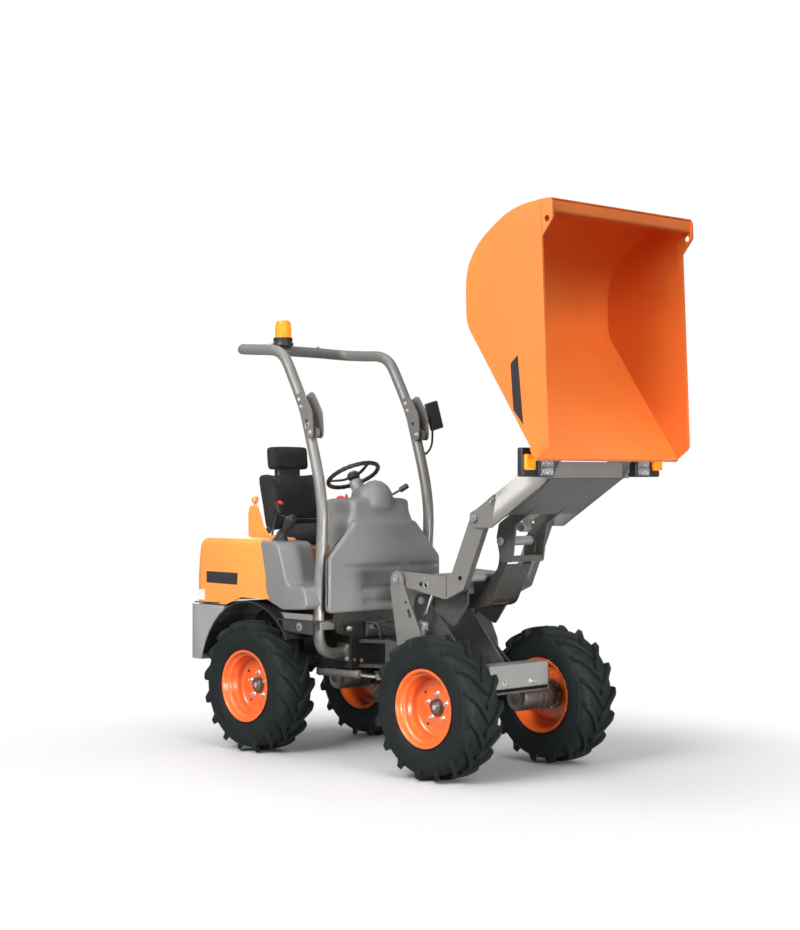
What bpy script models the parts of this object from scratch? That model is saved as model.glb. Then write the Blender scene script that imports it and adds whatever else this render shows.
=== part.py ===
# Site dumper with a high-tip skip: an articulated chassis on four wheels.
# Metres, +X forward, +Y to the driver's left, +Z up, the ground at z = 0.
# It stands with its lift arms raised and its skip tipped, which is every joint's zero.
import math

import bmesh
import bpy
from mathutils import Matrix, Vector

# Clearances
TOUCH = 0.0003          # between faces that seat on each other
PIN_GAP = 0.001         # between a pin and its hole, or a tube and the cheeks beside it
MOVE_GAP = 0.008        # between pieces that move past each other

# Chassis
FRONT_AXLE_X = 0.6167
WHEELBASE = 1.507
TRACK = 0.924
ARTICULATION_BACK = WHEELBASE - 0.757       # from the front axle back to the steering hinge
REAR_AXLE_X = FRONT_AXLE_X - WHEELBASE
HINGE_X = FRONT_AXLE_X - ARTICULATION_BACK

# Wheels
TYRE_RADIUS = 0.387
TYRE_WIDTH = 0.250
TREAD_DEPTH = 0.022
LUGS = 15                       # on each half of the tread
LUG_SWEEP = 20.0                # degrees round the wheel from a lug's inner end to its outer end
LUG_WIDTH = 0.034
RIM_RADIUS = 0.195
RIM_LIP = 0.018
RIM_WIDTH = 0.228
RIM_WALL = 0.006
DISC_INSET = 0.075              # from the rim's outer edge in to its disc
STUD_CIRCLE_RADIUS = 0.072
STUDS = 5
HUB_BORE = 0.045
MOTOR_RADIUS = 0.075
MOTOR_FLANGE = 0.060
HUB_RADIUS = 0.090
AXLE_RADIUS = 0.042

# Lift arms, a parallelogram with the inner link
LIFT_BACK = 0.491               # from the front axle back to the arms' hinge
LIFT_UP = 1.050
ARM_LENGTH = 0.704
ARM_ANGLE = 29.8                # degrees above level, raised
LINK_DX = 0.045
LINK_DZ = -0.126
ARM_IN = 0.237
ARM_THICK = 0.040
PIN_RADIUS = 0.016
LIFT_X = FRONT_AXLE_X - LIFT_BACK
TOP_X = LIFT_X + ARM_LENGTH * math.cos(math.radians(ARM_ANGLE))
TOP_Z = LIFT_UP + ARM_LENGTH * math.sin(math.radians(ARM_ANGLE))
ARM_MID = ARM_IN + ARM_THICK / 2
ARM_OUT = ARM_IN + ARM_THICK
PLATE = 0.012                   # plates of the lift frame, posts and towers
OUTER_PLATE = ARM_OUT + MOVE_GAP + PLATE / 2
LINK_HALF = 0.105
SKIRT_MID = 0.161
TOWER_MID = 0.137
EAR_MID = 0.124

# Tip frame and skip, measured from the arms' top pin
SKIP_HINGE_DX = 0.580
SKIP_HINGE_DZ = 0.350
SKIP_X = TOP_X + SKIP_HINGE_DX
SKIP_Z = TOP_Z + SKIP_HINGE_DZ
SKIP_HALF = 0.575
SKIP_WALL = 0.005
SKIP_MOUTH = 1.294              # up the mouth from the lip to the top edge
SKIP_DEPTH = 0.480              # behind the lip
SKIP_FRONT = 0.081              # the side walls' front edges stand this far ahead of the lip
SKIP_CUT = 0.054                # up the mouth, where the side walls' lower corners are cut off
SKIP_CORNERS = [(0.692, SKIP_DEPTH, 0.350), (1.103, SKIP_DEPTH, 0.120), (1.309, SKIP_DEPTH - 0.419, 0.080)]
SKIP_FLOOR_ANGLE = math.atan2(SKIP_CORNERS[0][1], SKIP_CORNERS[0][0])
SKIP_FILLET_STEPS = 9
SKIP_MOUTH_ANGLE = 92.2
SKIP_LIP_DX = 0.114
SKIP_LIP_DZ = -0.034
RIM_TUBE = 0.066
LIP_THICK = 0.012
EYE_REACH = 0.078               # the lifting eyes' plates, ahead of the walls' front edges
EYE_PLATE = 0.012
SKIP_EAR_MID = OUTER_PLATE - PLATE - MOVE_GAP
SKIP_PIN_RADIUS = 0.014

# Cylinders
LIFT_BASE_DX = -0.503           # from the front axle
LIFT_BASE_Z = 0.500
LIFT_EYE_DX = 0.216             # from the arms' hinge
LIFT_EYE_DZ = -0.030
CYLINDER_MID = 0.202
BARREL_RADIUS = 0.026
ROD_RADIUS = 0.0125
EYE_RADIUS = 0.027
TIP_BASE_DX = 0.090             # from the arms' top pin
TIP_BASE_DZ = -0.050
TIP_EYE_BACK = 0.0914           # from the skip's hinge
TIP_EYE_UP = 0.1768
STEER_BASE_DX = -0.450          # from the steering hinge
STEER_BASE_Y = -0.240
STEER_EYE_DX = 0.020
STEER_EYE_Y = -0.200
STEER_Z = 0.475
STEER_BARREL_RADIUS = 0.022
LIFT_STROKE = 0.163
TIP_STROKE = 0.257
STEER_STROKE = 0.232

# Lamps, from the skip's hinge and the middle
LAMP_LOW = -0.128
LAMP_HIGH = -0.028
LAMP_INNER = OUTER_PLATE + 0.042
LAMP_STEP = OUTER_PLATE + 0.162             # where the work lamp ends and the indicator's block begins
LAMP_OUTER = OUTER_PLATE + 0.268
INDICATOR_HALF = 0.041

# Front frame
FRAME_HALF = 0.235
FRAME_BOTTOM = 0.440
FRAME_TOP = 0.575
FORK_LOW = 0.520
FORK_HIGH = 0.665
FORK_PLATE = 0.020

# Rear body, from the rear axle and the ground
RAIL_HALF = 0.215
RAIL_TOP = 0.620
UNDER_FORK = 0.508              # the steering cylinder runs below this height
BODY_HALF = 0.555
HOOD_TOP = 1.262
HOOD_BOTTOM = 0.858
HOOD_WALL = 0.006
HOOD_EDGE = 0.045               # fillet along the top edges
HOOD_CORNER = 0.090             # and at the rear corners, seen from above
HOOD_REAR_LOW = -0.523
HOOD_REAR_TOP = -0.430
HOOD_FRONT_LOW = 0.207
HOOD_FRONT_TOP = 0.122
HOOD_PIVOT_IN = 0.018           # its hinge pin, from the hood's lower rear edge
HOOD_PIVOT_UP = 0.050
HOOD_HINGE_Y = 0.300
HOOD_PIN_RADIUS = 0.006
SEAT_BAY_HALF = 0.275
SEAT_BAY_BACK = -0.215
WEIGHT_REAR = -0.653
WEIGHT_FACE = -0.440            # where the frame's rails butt on the counterweight
WEIGHT_BOTTOM = 0.515
ARCH_X_RADIUS = 0.450
ARCH_Z_RADIUS = 0.490
ARCH_PLATE = 0.008
ARCH_STEPS = 20
ARCH_CENTRE_Z = 0.400
FLOOR_Z = 0.800
COWL_FRONT = -0.140             # from the steering hinge
COWL_DEPTH = 0.042
COWL_HALF = BODY_HALF - 0.105
COWL_LOW = 0.840
COWL_SHOULDER = 1.150
COWL_TOP = 1.365
COWL_TOP_HALF = 0.245
COWL_WALL = 0.012
RIB_DEPTH = 0.005
RIBS = [(-0.340, 0.126, 1.098), (0.179, 0.425, 1.098), (-0.206, 0.206, 0.976), (-0.190, 0.190, 0.893)]
RIB_HALF = 0.020
DASH_DEPTH = 0.160
DASH_TOP = 1.500
POD_SIZE = (0.095, 0.122, 0.118)
POD_UP = 1.489
SEAT_HALF = 0.240
SEAT_TOP = 1.345

# Roll bar, from the steering hinge
ROPS_HALF = BODY_HALF - 0.125
ROPS_RADIUS = 0.0325
ROPS_SPLIT_Z = 2.000
ROPS_PIN_DX = -0.284
ROPS_PIN_Z = 1.881
ROPS_CHEEK = 0.008
ROPS_BACK = 0.253               # from the steering hinge back to the posts' lower ends
ROPS_FOOT_Z = 0.600
ROPS_FLANGE_HALF = 0.052

SEGMENTS = 14
PIN_SEGMENTS = 10
WHEEL_SEGMENTS = 28
FILLET_STEPS = 2
FILLET_STEP_RADIUS = 0.06       # a fillet gets one more step for each of these


def clear_scene():
    for item in list(bpy.data.objects):
        bpy.data.objects.remove(item, do_unlink=True)


clear_scene()
PARTS = bpy.data.collections.new("site_dumper")
CUTTERS = bpy.data.collections.new("cutters")
bpy.context.scene.collection.children.link(PARTS)
bpy.context.scene.collection.children.link(CUTTERS)

PAINTS = {
    # name: (red, green, blue, roughness, metallic)
    "orange": (0.80, 0.27, 0.05, 0.45, 0.0),
    "warm_grey": (0.42, 0.40, 0.36, 0.5, 0.0),
    "dark": (0.05, 0.045, 0.04, 0.6, 0.0),
    "weight_grey": (0.30, 0.31, 0.31, 0.6, 0.0),
    "plastic": (0.16, 0.165, 0.17, 0.6, 0.0),
    "black": (0.02, 0.02, 0.02, 0.6, 0.0),
    "tyre": (0.025, 0.027, 0.025, 0.85, 0.0),
    "rim": (0.75, 0.18, 0.04, 0.45, 0.0),
    "chrome": (0.75, 0.75, 0.76, 0.15, 1.0),
    "vinyl": (0.02, 0.02, 0.022, 0.55, 0.0),
    "amber": (0.85, 0.35, 0.02, 0.2, 0.0),
}


def paint(item, colour):
    material = bpy.data.materials.new(item.name + "_" + colour)
    material.use_nodes = True
    shader = material.node_tree.nodes["Principled BSDF"]
    red, green, blue, roughness, metallic = PAINTS[colour]
    shader.inputs["Base Color"].default_value = (red, green, blue, 1.0)
    shader.inputs["Roughness"].default_value = roughness
    shader.inputs["Metallic"].default_value = metallic
    item.data.materials.clear()
    item.data.materials.append(material)


def new_object(name, bm, collection=CUTTERS):
    mesh = bpy.data.meshes.new(name)
    bmesh.ops.recalc_face_normals(bm, faces=bm.faces)
    if bm.calc_volume(signed=True) < 0.0:
        bmesh.ops.reverse_faces(bm, faces=bm.faces)
    bm.to_mesh(mesh)
    bm.free()
    item = bpy.data.objects.new(name, mesh)
    collection.objects.link(item)
    return item


def hide(item):
    item.hide_render = True
    item.display_type = "WIRE"
    return item


def boolean(target, operation, tools):
    for tool in tools:
        modifier = target.modifiers.new(operation.lower() + "_" + tool.name, "BOOLEAN")
        modifier.operation = operation
        modifier.solver = "EXACT"
        modifier.object = hide(tool)
    return target


def join(target, *tools):
    return boolean(target, "UNION", tools)


def cut(target, *tools):
    return boolean(target, "DIFFERENCE", tools)


def pivot(name, place, parent=None):
    empty = bpy.data.objects.new(name, None)
    PARTS.objects.link(empty)
    empty.location = Vector(place) - (pivot_place(parent) if parent else Vector())
    empty.parent = parent
    return empty


def pivot_place(empty):
    place = Vector(empty.location)
    while empty.parent:
        empty = empty.parent
        place += empty.location
    return place


def part(item, name, colour, parent):
    """Make a shape drawn in world places a named piece that hangs on its joint's empty."""
    item.name = name
    CUTTERS.objects.unlink(item)
    PARTS.objects.link(item)
    shift = pivot_place(parent)
    item.data.transform(Matrix.Translation(-shift))
    item.parent = parent
    item.data.shade_smooth()
    item.data.set_sharp_from_angle(angle=math.radians(35))
    paint(item, colour)
    return item


# Outlines

def arc(x, z, radius, start, end, steps=6):
    """Points on an arc, its angles in degrees."""
    angles = [math.radians(start + (end - start) * i / steps) for i in range(steps + 1)]
    return [(x + radius * math.cos(a), z + radius * math.sin(a)) for a in angles]


def circle(x, z, radius, steps=12):
    return arc(x, z, radius, 0.0, 360.0 - 360.0 / steps, steps - 1)


def slot(start, end, radius, steps=4):
    """A slotted hole between the centres of its two round ends."""
    turn = math.degrees(math.atan2(end[1] - start[1], end[0] - start[0]))
    return arc(*start, radius, turn + 90.0, turn + 270.0, steps) + arc(*end, radius, turn - 90.0, turn + 90.0, steps)


def rounded(corners, steps=None):
    """An outline from its corners (across, up, fillet radius), a wide fillet in more steps."""
    points = []
    for index, (x, z, radius) in enumerate(corners):
        here = Vector((x, z))
        before = Vector(corners[index - 1][:2])
        after = Vector(corners[(index + 1) % len(corners)][:2])
        if radius <= 0.0:
            points.append((x, z))
            continue
        back = (before - here).normalized()
        ahead = (after - here).normalized()
        half = back.angle(ahead) / 2
        reach = min(radius / math.tan(half), 0.49 * (before - here).length, 0.49 * (after - here).length)
        radius = reach * math.tan(half)
        centre = here + (back + ahead).normalized() * radius / math.sin(half)
        start = here + back * reach - centre
        end = here + ahead * reach - centre
        turn = start.angle_signed(end)
        count = steps or FILLET_STEPS + int(radius / FILLET_STEP_RADIUS)
        for step in range(count + 1):
            spin = Matrix.Rotation(-turn * step / count, 2)
            points.append(tuple(centre + spin @ start))
    return points


STAND_UP = Matrix.Rotation(math.radians(90), 4, "X")            # outline X-Z, thick along Y
FACE_ON = Matrix(((0, 0, 1, 0), (1, 0, 0, 0), (0, 1, 0, 0), (0, 0, 0, 1)))      # Y-Z, thick along X


def flat(name, loops, thickness, matrix):
    curve = bpy.data.curves.new(name, "CURVE")
    curve.dimensions = "2D"
    curve.fill_mode = "BOTH"
    curve.extrude = thickness / 2
    for loop in loops:
        spline = curve.splines.new("POLY")
        spline.points.add(len(loop) - 1)
        for point, (across, up) in zip(spline.points, loop):
            point.co = (across, up, 0.0, 1.0)
        spline.use_cyclic_u = True
    return mesh_from_curve(name, curve, matrix)


def mesh_from_curve(name, curve, matrix=None):
    drawn = bpy.data.objects.new(name + "_curve", curve)
    bpy.context.scene.collection.objects.link(drawn)
    bpy.context.view_layer.update()
    graph = bpy.context.evaluated_depsgraph_get()
    mesh = bpy.data.meshes.new_from_object(drawn.evaluated_get(graph))
    bpy.data.objects.remove(drawn, do_unlink=True)
    bm = bmesh.new()
    bm.from_mesh(mesh)
    bpy.data.meshes.remove(mesh)
    bmesh.ops.remove_doubles(bm, verts=bm.verts, dist=0.00001)
    if matrix:
        bm.transform(matrix)
    return new_object(name, bm)


def side_plate(name, loops, middle_y, thickness):
    """An outline in X-Z with its holes, centred on middle_y."""
    return flat(name, loops, thickness, Matrix.Translation((0, middle_y, 0)) @ STAND_UP)


def face_plate(name, loops, middle_x, thickness):
    """An outline in Y-Z with its holes, centred on middle_x."""
    return flat(name, loops, thickness, Matrix.Translation((middle_x, 0, 0)) @ FACE_ON)


def floor_plate(name, loops, middle_z, thickness):
    """An outline in X-Y with its holes, centred on middle_z."""
    return flat(name, loops, thickness, Matrix.Translation((0, 0, middle_z)))


def box(name, low, high):
    bm = bmesh.new()
    bmesh.ops.create_cube(bm, size=1.0)
    size = [b - a for a, b in zip(low, high)]
    middle = [(a + b) / 2 for a, b in zip(low, high)]
    bm.transform(Matrix.Translation(middle) @ Matrix.Diagonal((*size, 1.0)))
    return new_object(name, bm)


def rod(name, start, end, radius, end_radius=None, segments=SEGMENTS):
    start = Vector(start)
    end = Vector(end)
    along = end - start
    bm = bmesh.new()
    bmesh.ops.create_cone(bm, cap_ends=True, segments=segments, radius1=radius,
                          radius2=radius if end_radius is None else end_radius, depth=along.length)
    turn = along.to_track_quat("Z", "Y").to_matrix().to_4x4()
    bm.transform(Matrix.Translation((start + end) / 2) @ turn)
    return new_object(name, bm)


def cross_rod(name, x, z, radius, half, segments=SEGMENTS):
    return rod(name, (x, -half, z), (x, half, z), radius, segments=segments)


def bent_tube(name, points, radius, sides=2):
    curve = bpy.data.curves.new(name, "CURVE")
    curve.dimensions = "3D"
    curve.bevel_depth = radius
    curve.bevel_resolution = sides
    curve.use_fill_caps = True
    spline = curve.splines.new("POLY")
    spline.points.add(len(points) - 1)
    for point, place in zip(spline.points, points):
        point.co = (*place, 1.0)
    return mesh_from_curve(name, curve)


def smooth_path(knots, steps=2):
    """Points on a smooth curve through the knots."""
    knots = [Vector(k) for k in knots]
    padded = [knots[0] * 2 - knots[1]] + knots + [knots[-1] * 2 - knots[-2]]
    points = []
    for a, b, c, d in zip(padded, padded[1:], padded[2:], padded[3:]):
        for step in range(steps):
            t = step / steps
            points.append(0.5 * (2 * b + (c - a) * t + (2 * a - 5 * b + 4 * c - d) * t * t
                                 + (3 * b - a - 3 * c + d) * t ** 3))
    points.append(knots[-1])
    return points


def turned(name, profile, place, outward, segments=WHEEL_SEGMENTS):
    """A closed ring section (along, radius) turned about Y; along points to the wheel's outer side."""
    area = sum(r0 * a1 - r1 * a0 for (a0, r0), (a1, r1) in zip(profile, profile[1:] + profile[:1]))
    if area > 0.0:
        profile = profile[::-1]
    bm = bmesh.new()
    corners = [bm.verts.new((radius, 0.0, along)) for along, radius in profile]
    for start, end in zip(corners, corners[1:] + corners[:1]):
        bm.edges.new((start, end))
    mesh = bpy.data.meshes.new(name)
    bm.to_mesh(mesh)
    bm.free()
    item = bpy.data.objects.new(name, mesh)
    PARTS.objects.link(item)
    screw = item.modifiers.new("turn", "SCREW")
    screw.steps = segments
    screw.render_steps = segments
    screw.use_merge_vertices = True
    screw.merge_threshold = 0.0001
    item.location = place
    item.rotation_euler = (-outward * math.pi / 2, 0.0, 0.0)
    return item


# Joint empties

ROOT = pivot("root", (0, 0, 0))
FRONT = pivot("articulation", (HINGE_X, 0, (FORK_LOW + FORK_HIGH) / 2), ROOT)
LIFT = pivot("lift", (LIFT_X, 0, LIFT_UP), FRONT)
LINK = pivot("lift_link_pivot", (LIFT_X + LINK_DX, 0, LIFT_UP + LINK_DZ), FRONT)
TOP = pivot("lift_frame_pivot", (TOP_X, 0, TOP_Z), LIFT)
SKIP = pivot("skip_pivot", (SKIP_X, 0, SKIP_Z), TOP)
HOOD_PIVOT_X = REAR_AXLE_X + HOOD_REAR_LOW + HOOD_PIVOT_IN
HOOD_PIVOT_Z = HOOD_BOTTOM + HOOD_PIVOT_UP
HOOD = pivot("hood_pivot", (HOOD_PIVOT_X, 0, HOOD_PIVOT_Z), ROOT)
ROPS = pivot("roll_bar_pivot", (HINGE_X + ROPS_PIN_DX, 0, ROPS_PIN_Z), ROOT)


# Wheels

def tyre_profile():
    half = TYRE_WIDTH / 2
    inner = RIM_RADIUS + 0.006
    crown = TYRE_RADIUS - TREAD_DEPTH
    side = [(half * 0.80, inner), (half * 0.80, RIM_RADIUS + RIM_LIP + 0.004), (half * 0.97, inner + 0.070),
            (half * 0.93, crown - 0.045), (half * 0.74, crown - 0.008)]
    return side + [(-along, radius) for along, radius in reversed(side)]


def lug(name, side, start):
    """One bar of the tread, from the middle out over the shoulder, its foot inside the tyre."""
    crown = TYRE_RADIUS - TREAD_DEPTH
    half = TYRE_WIDTH / 2
    # across the tread, foot radius, top radius, share of the sweep, share of the width
    stations = [(-0.06, crown - 0.014, TYRE_RADIUS, 0.0, 0.7), (1.0, crown - 0.055, TYRE_RADIUS - 0.014, 1.0, 1.15)]
    bm = bmesh.new()
    rings = []
    for across, foot, top, sweep, widen in stations:
        middle = start + math.radians(LUG_SWEEP) * sweep
        low, high = LUG_WIDTH * widen * 0.60, LUG_WIDTH * widen * 0.42
        foot_across = min(across, 0.86) * half * side
        ring = []
        for radius, wide, y in ((foot, -low, foot_across), (top, -high, across * half * side),
                                (top, high, across * half * side), (foot, low, foot_across)):
            angle = middle + wide / radius
            ring.append(bm.verts.new((radius * math.cos(angle), y, radius * math.sin(angle))))
        rings.append(ring)
    for ring, following in zip(rings, rings[1:]):
        for i in range(4):
            j = (i + 1) % 4
            bm.faces.new((ring[i], following[i], following[j], ring[j]))
    bm.faces.new(rings[0][::-1])
    bm.faces.new(rings[-1])
    return new_object(name, bm)


def make_tread():
    """All the lugs of one tyre as one shape, the two halves half a pitch apart."""
    pitch = 2 * math.pi / LUGS
    bars = [lug("lug", side, pitch * (count + 0.25 * side)) for side in (-1, 1) for count in range(LUGS)]
    tread = bars[0]
    bm = bmesh.new()
    for bar in bars:
        bm.from_mesh(bar.data)
    bm.to_mesh(tread.data)
    bm.free()
    for bar in bars[1:]:
        bpy.data.objects.remove(bar, do_unlink=True)
    return tread


def rim_profile():
    half = RIM_WIDTH / 2
    seat = RIM_RADIUS + 0.006 - TOUCH
    disc = half - DISC_INSET
    lip = RIM_RADIUS + RIM_LIP
    bead = TYRE_WIDTH / 2 * 0.80 + TOUCH
    inner = seat - RIM_WALL
    return [(half, lip), (bead, lip), (bead, seat), (-bead, seat), (-bead, lip), (-half, lip), (-bead + 0.006, inner),
            (disc - RIM_WALL, inner), (disc - RIM_WALL, HUB_BORE), (disc, HUB_BORE), (disc, inner), (bead - 0.006, inner)]


def make_wheel(end, axle_x, side, parent):
    name = end + "_" + ("left" if side > 0 else "right")
    centre = Vector((axle_x, side * TRACK / 2, TYRE_RADIUS))
    hub = pivot(name + "_wheel", centre, parent)
    tyre = turned("tyre_" + name, tyre_profile(), (0, 0, 0), side)
    tread = make_tread()
    tread.parent = hub
    join(tyre, tread)
    rim = turned("rim_" + name, rim_profile(), (0, 0, 0), side)
    disc = RIM_WIDTH / 2 - DISC_INSET
    for stud in range(STUDS):
        angle = 2 * math.pi * (stud + 0.25) / STUDS
        x, z = STUD_CIRCLE_RADIUS * math.cos(angle), STUD_CIRCLE_RADIUS * math.sin(angle)
        nut = rod("wheel_nut", (x, side * (disc - 0.004), z), (x, side * (disc + 0.018), z), 0.012, segments=6)
        nut.parent = hub
        join(rim, nut)
    for item, colour in ((tyre, "tyre"), (rim, "rim")):
        item.parent = hub
        paint(item, colour)


def disc_plane():
    """How far the disc's inner face stands outboard of the tyre's middle."""
    return RIM_WIDTH / 2 - DISC_INSET - RIM_WALL


def make_axle(name, axle_x, frame_half, parent):
    """The hydraulic wheel motors on their cross tube, with a hub that fits inside each rim."""
    half = TRACK / 2 + disc_plane() - TOUCH
    tube = cross_rod(name + "_tube", axle_x, TYRE_RADIUS, AXLE_RADIUS, half - 0.05)
    for side in (-1, 1):
        inner = side * (frame_half - 0.01)
        flange = side * (half - MOTOR_FLANGE)
        tip = side * half
        motor = rod(name + "_motor", (axle_x, inner, TYRE_RADIUS), (axle_x, flange, TYRE_RADIUS), MOTOR_RADIUS)
        hub = rod(name + "_hub", (axle_x, flange * 0.999, TYRE_RADIUS), (axle_x, tip, TYRE_RADIUS),
                  HUB_RADIUS)
        cap = rod(name + "_cap", (axle_x, tip * 0.999, TYRE_RADIUS),
                  (axle_x, tip + side * (RIM_WALL + 0.030), TYRE_RADIUS), HUB_BORE - 0.002, HUB_BORE - 0.012)
        join(tube, motor, hub, cap)
    return part(tube, name, "dark", parent)


# Front frame

def line_down_from_lift(x, angle):
    return LIFT_UP - math.tan(math.radians(angle)) * (x - LIFT_X)


def make_front_frame():
    front = FRONT_AXLE_X
    beam_back = front + 0.070
    beam_front = front + 0.170
    back = front - 0.640
    frame = box("front_frame_floor", (back, -FRAME_HALF, FRAME_BOTTOM), (beam_front - 0.006, FRAME_HALF, FRAME_BOTTOM + PLATE))
    for side in (-1, 1):
        rail = side_plate("front_rail", [rounded([
            (back + 0.002, FRAME_BOTTOM - 0.002, 0.0), (beam_front - 0.003, FRAME_BOTTOM - 0.002, 0.0),
            (beam_front - 0.003, 0.597, 0.0), (beam_back, 0.597, 0.0), (beam_back - 0.03, FRAME_TOP, 0.0), (front - 0.12, FRAME_TOP, 0.03),
            (front - 0.22, 0.660, 0.03), (back + 0.002, 0.697, 0.0)])],
            side * (FRAME_HALF + PLATE / 2 - 0.001), PLATE)
        tower_top = line_down_from_lift(LIFT_X + LINK_DX + 0.036, 47)
        tower = side_plate("tower", [
            rounded([(back + 0.005, FRAME_BOTTOM + 0.005, 0.0), (front - 0.03, FRAME_BOTTOM + 0.005, 0.0),
                     (front - 0.05, line_down_from_lift(front - 0.05, 48), 0.01),
                     (LIFT_X + LINK_DX + 0.036, tower_top, 0.03),
                     (LIFT_X + LINK_DX - 0.045, tower_top, 0.03)]),
            circle(LIFT_X + LINK_DX, LIFT_UP + LINK_DZ, PIN_RADIUS + PIN_GAP)],
            side * TOWER_MID, PLATE)
        post = side_plate("post", [
            rounded([(LIFT_X - 0.050, LIFT_UP + 0.048, 0.045), (LIFT_X - 0.050, LIFT_UP - 0.06, 0.0),
                     (LIFT_X + 0.02, 0.60, 0.02), (LIFT_X + 0.02, FRAME_BOTTOM + 0.04, 0.0),
                     (LIFT_X + 0.26, FRAME_BOTTOM + 0.04, 0.0), (LIFT_X + 0.22, 0.70, 0.04),
                     (LIFT_X + 0.055, LIFT_UP - 0.03, 0.03), (LIFT_X + 0.050, LIFT_UP + 0.048, 0.045)]),
            circle(LIFT_X, LIFT_UP, PIN_RADIUS + PIN_GAP),
            circle(LIFT_X + 0.073, LIFT_UP - 0.128, 0.009, 8),
            slot((LIFT_X + 0.094, LIFT_UP - 0.174), (LIFT_X + 0.107, LIFT_UP - 0.205), 0.010)],
            side * OUTER_PLATE, PLATE)
        bracket = box("post_bracket", (LIFT_X + 0.04, min(side * FRAME_HALF, side * OUTER_PLATE), FRAME_BOTTOM + 0.06),
                      (LIFT_X + 0.24, max(side * FRAME_HALF, side * OUTER_PLATE), FRAME_BOTTOM + 0.18))
        join(frame, rail, tower, post, bracket)
        cut(frame, rod("motor_hole", (front, side * 0.15, TYRE_RADIUS), (front, side * 0.40, TYRE_RADIUS),
                       MOTOR_RADIUS + TOUCH * 3))
    beam = box("beam", (beam_back, -FRAME_HALF - 0.001, 0.470), (beam_front, FRAME_HALF + 0.001, 0.600))
    rear_box = box("rear_box", (back, -FRAME_HALF - 0.001, FRAME_BOTTOM), (back + 0.012, FRAME_HALF + 0.001, 0.700))
    knuckle = rod("knuckle", (HINGE_X, 0, FORK_LOW + FORK_PLATE / 2 + PIN_GAP * 3),
                  (HINGE_X, 0, FORK_HIGH - FORK_PLATE / 2 - PIN_GAP * 3), 0.060)
    neck = box("neck", (HINGE_X, -0.050, FORK_LOW + 0.018), (back + 0.02, 0.050, FORK_HIGH - 0.018))
    bore = rod("king_pin_hole", (HINGE_X, 0, 0.40), (HINGE_X, 0, 0.80), 0.026)
    steer_lug = box("steer_lug", (HINGE_X - 0.010, STEER_EYE_Y - 0.020, STEER_Z + 0.0215),
                    (back + 0.01, STEER_EYE_Y + 0.030, STEER_Z + 0.0295))
    join(frame, beam, rear_box, knuckle, neck, steer_lug)
    cut(frame, bore)
    for side in (-1, 1):
        x = front + LIFT_BASE_DX
        pin = rod("lift_base_pin", (x, side * (TOWER_MID), LIFT_BASE_Z), (x, side * (FRAME_HALF + 0.004), LIFT_BASE_Z),
                  PIN_RADIUS)
        join(frame, pin)
    return part(frame, "front_frame", "dark", FRONT)


def arm_point(dx, dz):
    return (LIFT_X + dx, LIFT_UP + dz)


def make_lift_arms():
    reach = (TOP_X - LIFT_X, TOP_Z - LIFT_UP)
    outline = rounded([
        (*arm_point(-0.046, 0.046), 0.045), (*arm_point(-0.046, -0.046), 0.045),
        (*arm_point(0.099, -0.053), 0.06), (*arm_point(0.370, -0.100), 0.05),
        (*arm_point(0.505, -0.041), 0.03), (*arm_point(0.548, 0.055), 0.05),
        (*arm_point(reach[0] + 0.062, reach[1] - 0.020), 0.04), (*arm_point(reach[0] + 0.012, reach[1] + 0.060), 0.04),
        (*arm_point(reach[0] - 0.052, reach[1] + 0.010), 0.03), (*arm_point(0.406, 0.025), 0.05)])
    arms = None
    for side in (-1, 1):
        arm = side_plate("arm", [outline, circle(*arm_point(0.478, 0.021), 0.014, 12)], side * ARM_MID, ARM_THICK)
        if arms is None:
            arms = arm
        else:
            join(arms, arm)
        for x, z in ((LIFT_X, LIFT_UP), (TOP_X, TOP_Z)):
            pin = rod("arm_pin", (x, side * ARM_MID, z), (x, side * (OUTER_PLATE + PLATE / 2 + 0.012), z), PIN_RADIUS)
            join(arms, pin)
        eye = arm_point(LIFT_EYE_DX, LIFT_EYE_DZ)
        lug = side_plate("eye_lug", [rounded([
            (eye[0] - 0.028, eye[1] - 0.028, 0.026), (eye[0] + 0.028, eye[1] - 0.028, 0.026),
            (eye[0] + 0.05, LIFT_UP + 0.021, 0.0), (eye[0] - 0.05, LIFT_UP + 0.021, 0.0)])],
            side * (CYLINDER_MID - 0.026), 0.010)
        skirt = side_plate("skirt", [rounded([
            arm_corner + (0.02,) for arm_corner in (
                arm_point(0.160, 0.015), arm_point(0.170, -0.180), arm_point(0.330, -0.260),
                arm_point(0.430, -0.130), arm_point(0.430, 0.015))])],
            side * SKIRT_MID, 0.010)
        join(arms, lug, skirt)
    cover = box("cover", (LIFT_X + 0.075, -ARM_IN - 0.002, LIFT_UP + 0.012), (LIFT_X + 0.445, ARM_IN + 0.002, LIFT_UP + 0.022))
    tube = cross_rod("cross_tube", *arm_point(0.478, 0.021), 0.022, ARM_IN + 0.002)
    join(arms, cover, tube)
    return part(arms, "lift_arms", "warm_grey", LIFT)


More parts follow.
